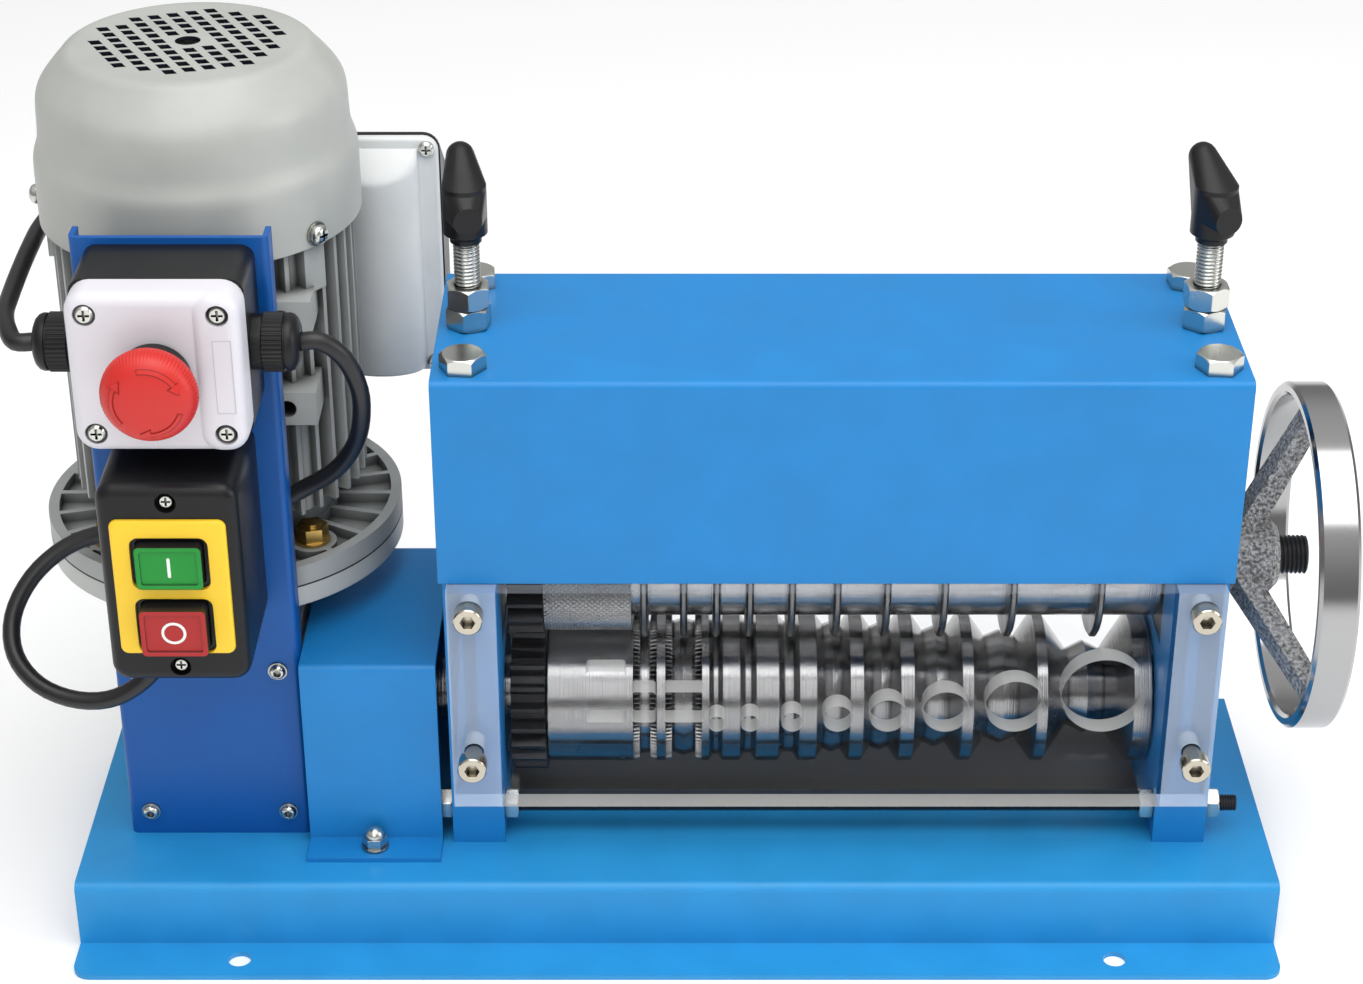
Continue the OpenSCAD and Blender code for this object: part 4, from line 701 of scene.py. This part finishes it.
def roller_profile(left, right):
    """Rows of place, radius and tooth depth along the roller."""
    rows = [(left, 0.01, 0), (left, JOURNAL_R, 0), (ROLLER_FROM, JOURNAL_R, 0),
            (ROLLER_FROM, ROLLER_R - CHAMFER, 0), (ROLLER_FROM + CHAMFER, ROLLER_R, 0)]
    for x, w, root, ridge in FLAT_GROOVES:
        a, b = x - w / 2, x + w / 2
        rows += [(a, ROLLER_R, 0), (a, ROLLER_R - 0.4, TOOTH_DEEP), (a + SHOULDER, ROLLER_R - 1, TOOTH_DEEP),
                 (a + SHOULDER + 0.3, root, 0), (x, root + ridge, 0), (b - SHOULDER - 0.3, root, 0),
                 (b - SHOULDER, ROLLER_R - 1, TOOTH_DEEP), (b, ROLLER_R - 0.4, TOOTH_DEEP), (b, ROLLER_R, 0)]
    for x, w, root in ROUND_GROOVES:
        slope = 0.7 * (ROLLER_R - root)
        ridge = w / 10 if w > 12 else 0
        rows += [(x - w / 2, ROLLER_R, 0), (x - w / 2 + slope, root, 0), (x, root + ridge, 0),
                 (x + w / 2 - slope, root, 0), (x + w / 2, ROLLER_R, 0)]
    return rows + [(ROLLER_TO - CHAMFER, ROLLER_R, 0), (ROLLER_TO, ROLLER_R - CHAMFER, 0),
                   (ROLLER_TO, JOURNAL_R, 0), (right, JOURNAL_R, 0), (right, 0.01, 0)]


def turned_skin(rows, z, teeth):
    """Skin turned about an axis along X, four points to a tooth, with teeth where a row has depth."""
    rings = []
    for x, r, deep in rows:
        ring = []
        for k in range(4 * teeth):
            here = r - deep * (0, 0.5, 1, 0.5)[k % 4]
            a = math.tau * k / (4 * teeth)
            ring.append((x, AXIS_Y + here * math.cos(a), z + here * math.sin(a)))
        rings.append(ring)
    return lofted(rings)


low, high = (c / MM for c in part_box("feed_roller"))
skin = turned_skin(roller_profile(low.x, high.x), ROLLER_Z, ROLLER_TEETH)
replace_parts(crisp(piece("roller_turned", *skin, SHADED_ROLLER_STEEL, "roller", "steel"), angle=30), "feed_roller")

# Blades: discs with bevelled edges, one above each groove
BLADE_PROFILE = ((-1.7, 12.5), (-1.7, 36.6), (-0.8, 38), (0.8, 38), (1.7, 36.6), (1.7, 12.5))
BLADE_TEETH = 24
BLADE_XS = [groove[0] for groove in FLAT_GROOVES + ROUND_GROOVES]
discs = joined(turned_skin([(x + at, r, 0) for at, r in BLADE_PROFILE], BLADE_Z, BLADE_TEETH)
               for x in BLADE_XS)
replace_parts(crisp(piece("blade_discs", *discs, BLADE_STEEL, "blades", "steel"), angle=30), "stripping_blades")

# Knurled roller: small pyramids between two crossing sets of grooves
KNURL_ROUND, KNURL_DEEP = 160, 0.6
low, high = (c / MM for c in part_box("knurled_roller"))
knurl_r = (high.z - low.z) / 2
knurl_long = high.x - low.x
knurl_rows = round(knurl_long / (math.tau * knurl_r / KNURL_ROUND))
verts, faces = [], []
for j in range(knurl_rows + 1):
    for k in range(KNURL_ROUND):
        r = knurl_r - KNURL_DEEP * ((j + k) % 2)
        a = math.tau * k / KNURL_ROUND
        x = low.x + knurl_long * j / knurl_rows
        verts.append((x, AXIS_Y + r * math.cos(a), BLADE_Z + r * math.sin(a)))
for j in range(knurl_rows):
    for k in range(KNURL_ROUND):
        a, b = j * KNURL_ROUND + k, j * KNURL_ROUND + (k + 1) % KNURL_ROUND
        c, d = b + KNURL_ROUND, a + KNURL_ROUND
        faces += [(a, b, d), (b, c, d)] if (j + k) % 2 == 0 else [(a, b, c), (a, c, d)]
faces += [tuple(range(KNURL_ROUND - 1, -1, -1)),
          tuple(range(knurl_rows * KNURL_ROUND, (knurl_rows + 1) * KNURL_ROUND))]
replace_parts(piece("knurl_skin", verts, faces, KNURL, "blades", "steel", smooth=False), "knurled_roller")

# Capacitor box: straight rim, with a back that slopes in at its top
CAP_JOINT, CAP_RIM, CAP_BACK, CAP_SLOPE, CAP_CORNER = CAP_FACE + 3.9, CAP_FACE + 6, CAP_FACE + 32, 19, 8
rings = [[(CAP_X + u, y, CAP_Z - drop / 2 + v) for u, v in outline(CAP_W, CAP_H - drop, CAP_CORNER)]
         for y, drop in ((CAP_JOINT, 0), (CAP_RIM, 0), (CAP_BACK, CAP_SLOPE))]
box = crisp(piece("capacitor_back", *lofted(rings), BLACK_PLASTIC, "frame", "black_plastic"))
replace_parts(box, "capacitor_box")

# Capacitor cover: soft-edged lid with a half-oval bulge that slopes in at its top
BULGE_W, BULGE_D, BULGE_LOW, BULGE_HIGH = 42, 13, CAP_Z - CAP_H / 2 + 3, CAP_Z + CAP_H / 2 - 6
BULGE_FOOT, UNCUT = 2, 99


def bulge_ring(z, depth, inset=0.0, steps=28):
    """Half-oval section at a height, no deeper than a given depth."""
    ring = [(CAP_X + BULGE_W / 2, CAP_FACE + 1, z), (CAP_X - BULGE_W / 2, CAP_FACE + 1, z)]
    for k in range(steps + 1):
        a = math.pi * k / steps
        full = (BULGE_D - inset) * math.sin(a)
        deep = (full + depth - math.sqrt((full - depth) ** 2 + 1.5)) / 2
        ring.append((CAP_X - (BULGE_W / 2 - inset) * math.cos(a), CAP_FACE - max(deep, -0.5), z))
    return ring


rings = []
for degrees in (0, 30, 60, 90):
    a = math.radians(degrees)
    rise = BULGE_FOOT * (1 - math.cos(a))
    rings.append(bulge_ring(BULGE_LOW + rise, UNCUT, BULGE_FOOT * (1 - math.sin(a))))
rings += [bulge_ring(BULGE_LOW + z, UNCUT) for z in (30, 60, 90)]
rings += [bulge_ring(BULGE_HIGH - z, z) for z in (16, 14.5, 13.5, 12.5, 11, 8, 4, 1, 0)]
lid = joined([soft_box(CAP_X, CAP_Z, CAP_FACE + 4, CAP_FACE, CAP_W - 1.5, CAP_H - 1.5, 7, 2), lofted(rings)])
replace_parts(crisp(piece("capacitor_lid", *lid, LIT_LID_GREY, "frame", "cast_light"), angle=50), "capacitor_cover")

# Fan cowl: spun shell with soft shoulders, and rows of skewed punched holes
COWL_RIM, COWL_TOP, COWL_T, COWL_SIDES = 315.2, 393, 1.6, 128
COWL_OUTER = [(71.5, COWL_RIM), (71.5, 330), (71.4, 341), (70.9, 346), (69.6, 350), (68.6, 354), (68.2, 360),
              (67.9, 368), (67.2, 373.5), (65.2, 378), (61, 383.5), (57, 388), (54.3, 391), (51.5, 392.6),
              (48, COWL_TOP)]
GRILLE_START, GRILLE_A, GRILLE_B = (2.7, -12), (4.25, 9.9), (3.65, -7)
GRILLE_IN, GRILLE_OUT, CENTRE_HOLE = 9, 42, 5.6
PUNCH = (COWL_TOP - 5, COWL_TOP + 5)


def around_motor(r, z, sides=COWL_SIDES):
    """Ring of points about the motor's axis."""
    return [(MOTOR_X + u, MOTOR_Y + v, z) for u, v in circle(r, sides)]


def slanted_hole(x, y):
    """Cutter for one hole of the grille."""
    rim = [(x + i * 2.4 + j * 1.35, y + i * 0.5 - j * 2.45) for i, j in ((-1, -1), (-1, 1), (1, 1), (1, -1))]
    return lofted([[(MOTOR_X + u, MOTOR_Y + v, z) for u, v in rim] for z in PUNCH])


outside = [(p.x, p.y) for p in smooth_line([Vector((r, z)) for r, z in COWL_OUTER])]
inside = [(r - COWL_T, min(z, COWL_TOP - COWL_T)) for r, z in outside]
profile = [(0.05, COWL_TOP - COWL_T), *inside[::-1], *outside, (0.05, COWL_TOP)]
shell = lofted([around_motor(r, z) for r, z in profile])
cowl = piece("cowl_shell", *shell, COWL_SHADED_GREY, "frame", "cast_light")
grille = [tuple(s + a * i + b * j for s, a, b in zip(GRILLE_START, GRILLE_A, GRILLE_B))
          for i in range(-10, 11) for j in range(-14, 15)]
holes = joined(slanted_hole(x, y) for x, y in grille if GRILLE_IN < math.hypot(x, y) < GRILLE_OUT)
carved(cowl, [holes, lofted([around_motor(CENTRE_HOLE, z, 40) for z in PUNCH])])
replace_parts(cowl, "fan_cowl")

# Cowl screws with washers and crossed slots, and the lugs of the motor frame that they go into
COWL_SCREWS, SCREW_Z = (-38, 71, 180), 321
SCREW_ROWS = ((69, 2.5), (71.45, 2.5), (71.45, 5.5), (72.5, 5.5), (72.5, 4.5), (74.2, 4.5), (75.4, 3.9),
              (76.3, 2.6), (76.6, 0.05))
SLOT_FROM, SLOT_TO, SLOT_LONG, SLOT_WIDE = 74.6, 80, 5, 1.1
LUG_FROM, LUG_TO, LUG_W, LUG_LOW, LUG_HIGH = 56, 69.6, 12.3, 293.2, 316


def from_motor(turn, out, across, z):
    """Point at a distance out from the motor's axis and across, in a turned direction."""
    a = math.radians(turn)
    return (MOTOR_X + out * math.cos(a) - across * math.sin(a),
            MOTOR_Y + out * math.sin(a) + across * math.cos(a), z)


def radial_skin(turn, rows, sides=28):
    """Skin about a line out of the motor at its screws' height, from rows of distance and radius."""
    return lofted([[from_motor(turn, out, u, SCREW_Z + v) for u, v in circle(r, sides)] for out, r in rows])


def radial_box(turn, near, far, w, low, high):
    """Block that points out of the motor."""
    corners = ((-w / 2, low), (w / 2, low), (w / 2, high), (-w / 2, high))
    return lofted([[from_motor(turn, out, across, z) for across, z in corners] for out in (near, far)])


heads = joined(radial_skin(turn, SCREW_ROWS) for turn in COWL_SCREWS)
slots = [radial_box(turn, SLOT_FROM, SLOT_TO, w, SCREW_Z - h / 2, SCREW_Z + h / 2)
         for turn in COWL_SCREWS for w, h in ((SLOT_LONG, SLOT_WIDE), (SLOT_WIDE, SLOT_LONG))]
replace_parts(carved(piece("cowl_screw_heads", *heads, ZINC, "frame", "zinc"), slots), "cowl_screws")
lugs = joined(radial_box(turn, LUG_FROM, LUG_TO, LUG_W, LUG_LOW, LUG_HIGH) for turn in COWL_SCREWS)
crisp(piece("cowl_lugs", *lugs, FRAME_GREY, "frame", "cast_mid"))

# Joint line between the motor's flange and the gearbox: a thin dark hoop
SEAM_LOW, SEAM_HIGH, SEAM_IN, SEAM_OUT = 158.6, 159.4, 79.5, 82.56
section = ((SEAM_IN, SEAM_LOW), (SEAM_OUT, SEAM_LOW), (SEAM_OUT, SEAM_HIGH), (SEAM_IN, SEAM_HIGH))
seam = lofted([around_motor(r, z) for r, z in section], looped=True)
crisp(piece("flange_seam", *seam, SEAM_DARK, "frame", "cast_mid"))

# Column screws: button heads with washers
COLUMN_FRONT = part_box("control_column")[0].y / MM
SCREW_X, SCREW_UP = 32, 38.5
BUTTON_HEAD = [(-0.2, 4.5), (1, 4.4), (1, 3.6), (1.9, 3.5), (2.8, 2.9), (3.2, 2.1), (3.2, 1.8), (1.6, 1.7),
               (1.6, 0.05)]


def column_screw(x, z):
    return lofted([[(x + u, COLUMN_FRONT - out, z + v) for u, v in circle(r, 32)] for out, r in BUTTON_HEAD])


screws = joined(column_screw(MOTOR_X + sx * SCREW_X, ROLLER_Z + sz * SCREW_UP)
                for sx in SIDES for sz in SIDES)
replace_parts(crisp(piece("column_screw_heads", *screws, ZINC, "frame", "zinc")), "column_screws")


# Stage: pale floor and soft light
def area_light(name, at, aim, size, power):
    light = bpy.data.objects.new(name, bpy.data.lights.new(name, "AREA"))
    light.data.size = size
    light.data.energy = power
    light.location = at
    light.rotation_euler = (Vector(aim) - Vector(at)).to_track_quat("-Z", "Y").to_euler()
    bpy.context.scene.collection.objects.link(light)


FLOOR = 8
floor_mesh = bpy.data.meshes.new("floor")
floor_mesh.from_pydata([(-FLOOR, -FLOOR, 0), (FLOOR, -FLOOR, 0), (FLOOR, FLOOR, 0), (-FLOOR, FLOOR, 0)], [],
                       [(0, 1, 2, 3)])
floor = bpy.data.objects.new("floor", floor_mesh)
bpy.context.scene.collection.objects.link(floor)
floor_mesh.materials.append(material("pale_floor", (0.9, 0.9, 0.9), 0.7, Emission_Color=(1, 1, 1, 1),
                                     Emission_Strength=0.12))
area_light("top_light", (0.1, -0.6, 2.0), (0, 0, 0.1), 1.8, 30)
area_light("front_light", (-0.2, -2.2, 1.3), (0, 0, 0.15), 1.4, 8)
area_light("side_light", (1.9, -0.5, 0.9), (-0.1, 0, 0.2), 1.0, 12)

# Sky: grey below, brighter towards the top
SKY_STOPS = ((0.0, 0.3), (0.3, 0.45), (0.65, 0.8), (1.0, 1.0))
SKY_STRENGTH = 0.8
world = bpy.data.worlds.new("studio")
world.use_nodes = True
sky = world.node_tree
facing = sky.nodes.new("ShaderNodeSeparateXYZ")
ramp = sky.nodes.new("ShaderNodeValToRGB")
for k, (position, grey) in enumerate(SKY_STOPS):
    stop = ramp.color_ramp.elements[k] if k < 2 else ramp.color_ramp.elements.new(position)
    stop.position = position
    stop.color = (grey, grey, grey, 1)
sky.links.new(sky.nodes.new("ShaderNodeTexCoord").outputs["Generated"], facing.inputs[0])
sky.links.new(facing.outputs[2], ramp.inputs[0])
sky.links.new(ramp.outputs[0], sky.nodes["Background"].inputs["Color"])
sky.nodes["Background"].inputs["Strength"].default_value = SKY_STRENGTH
bpy.context.scene.world = world
bpy.context.scene.view_settings.view_transform = "Standard"
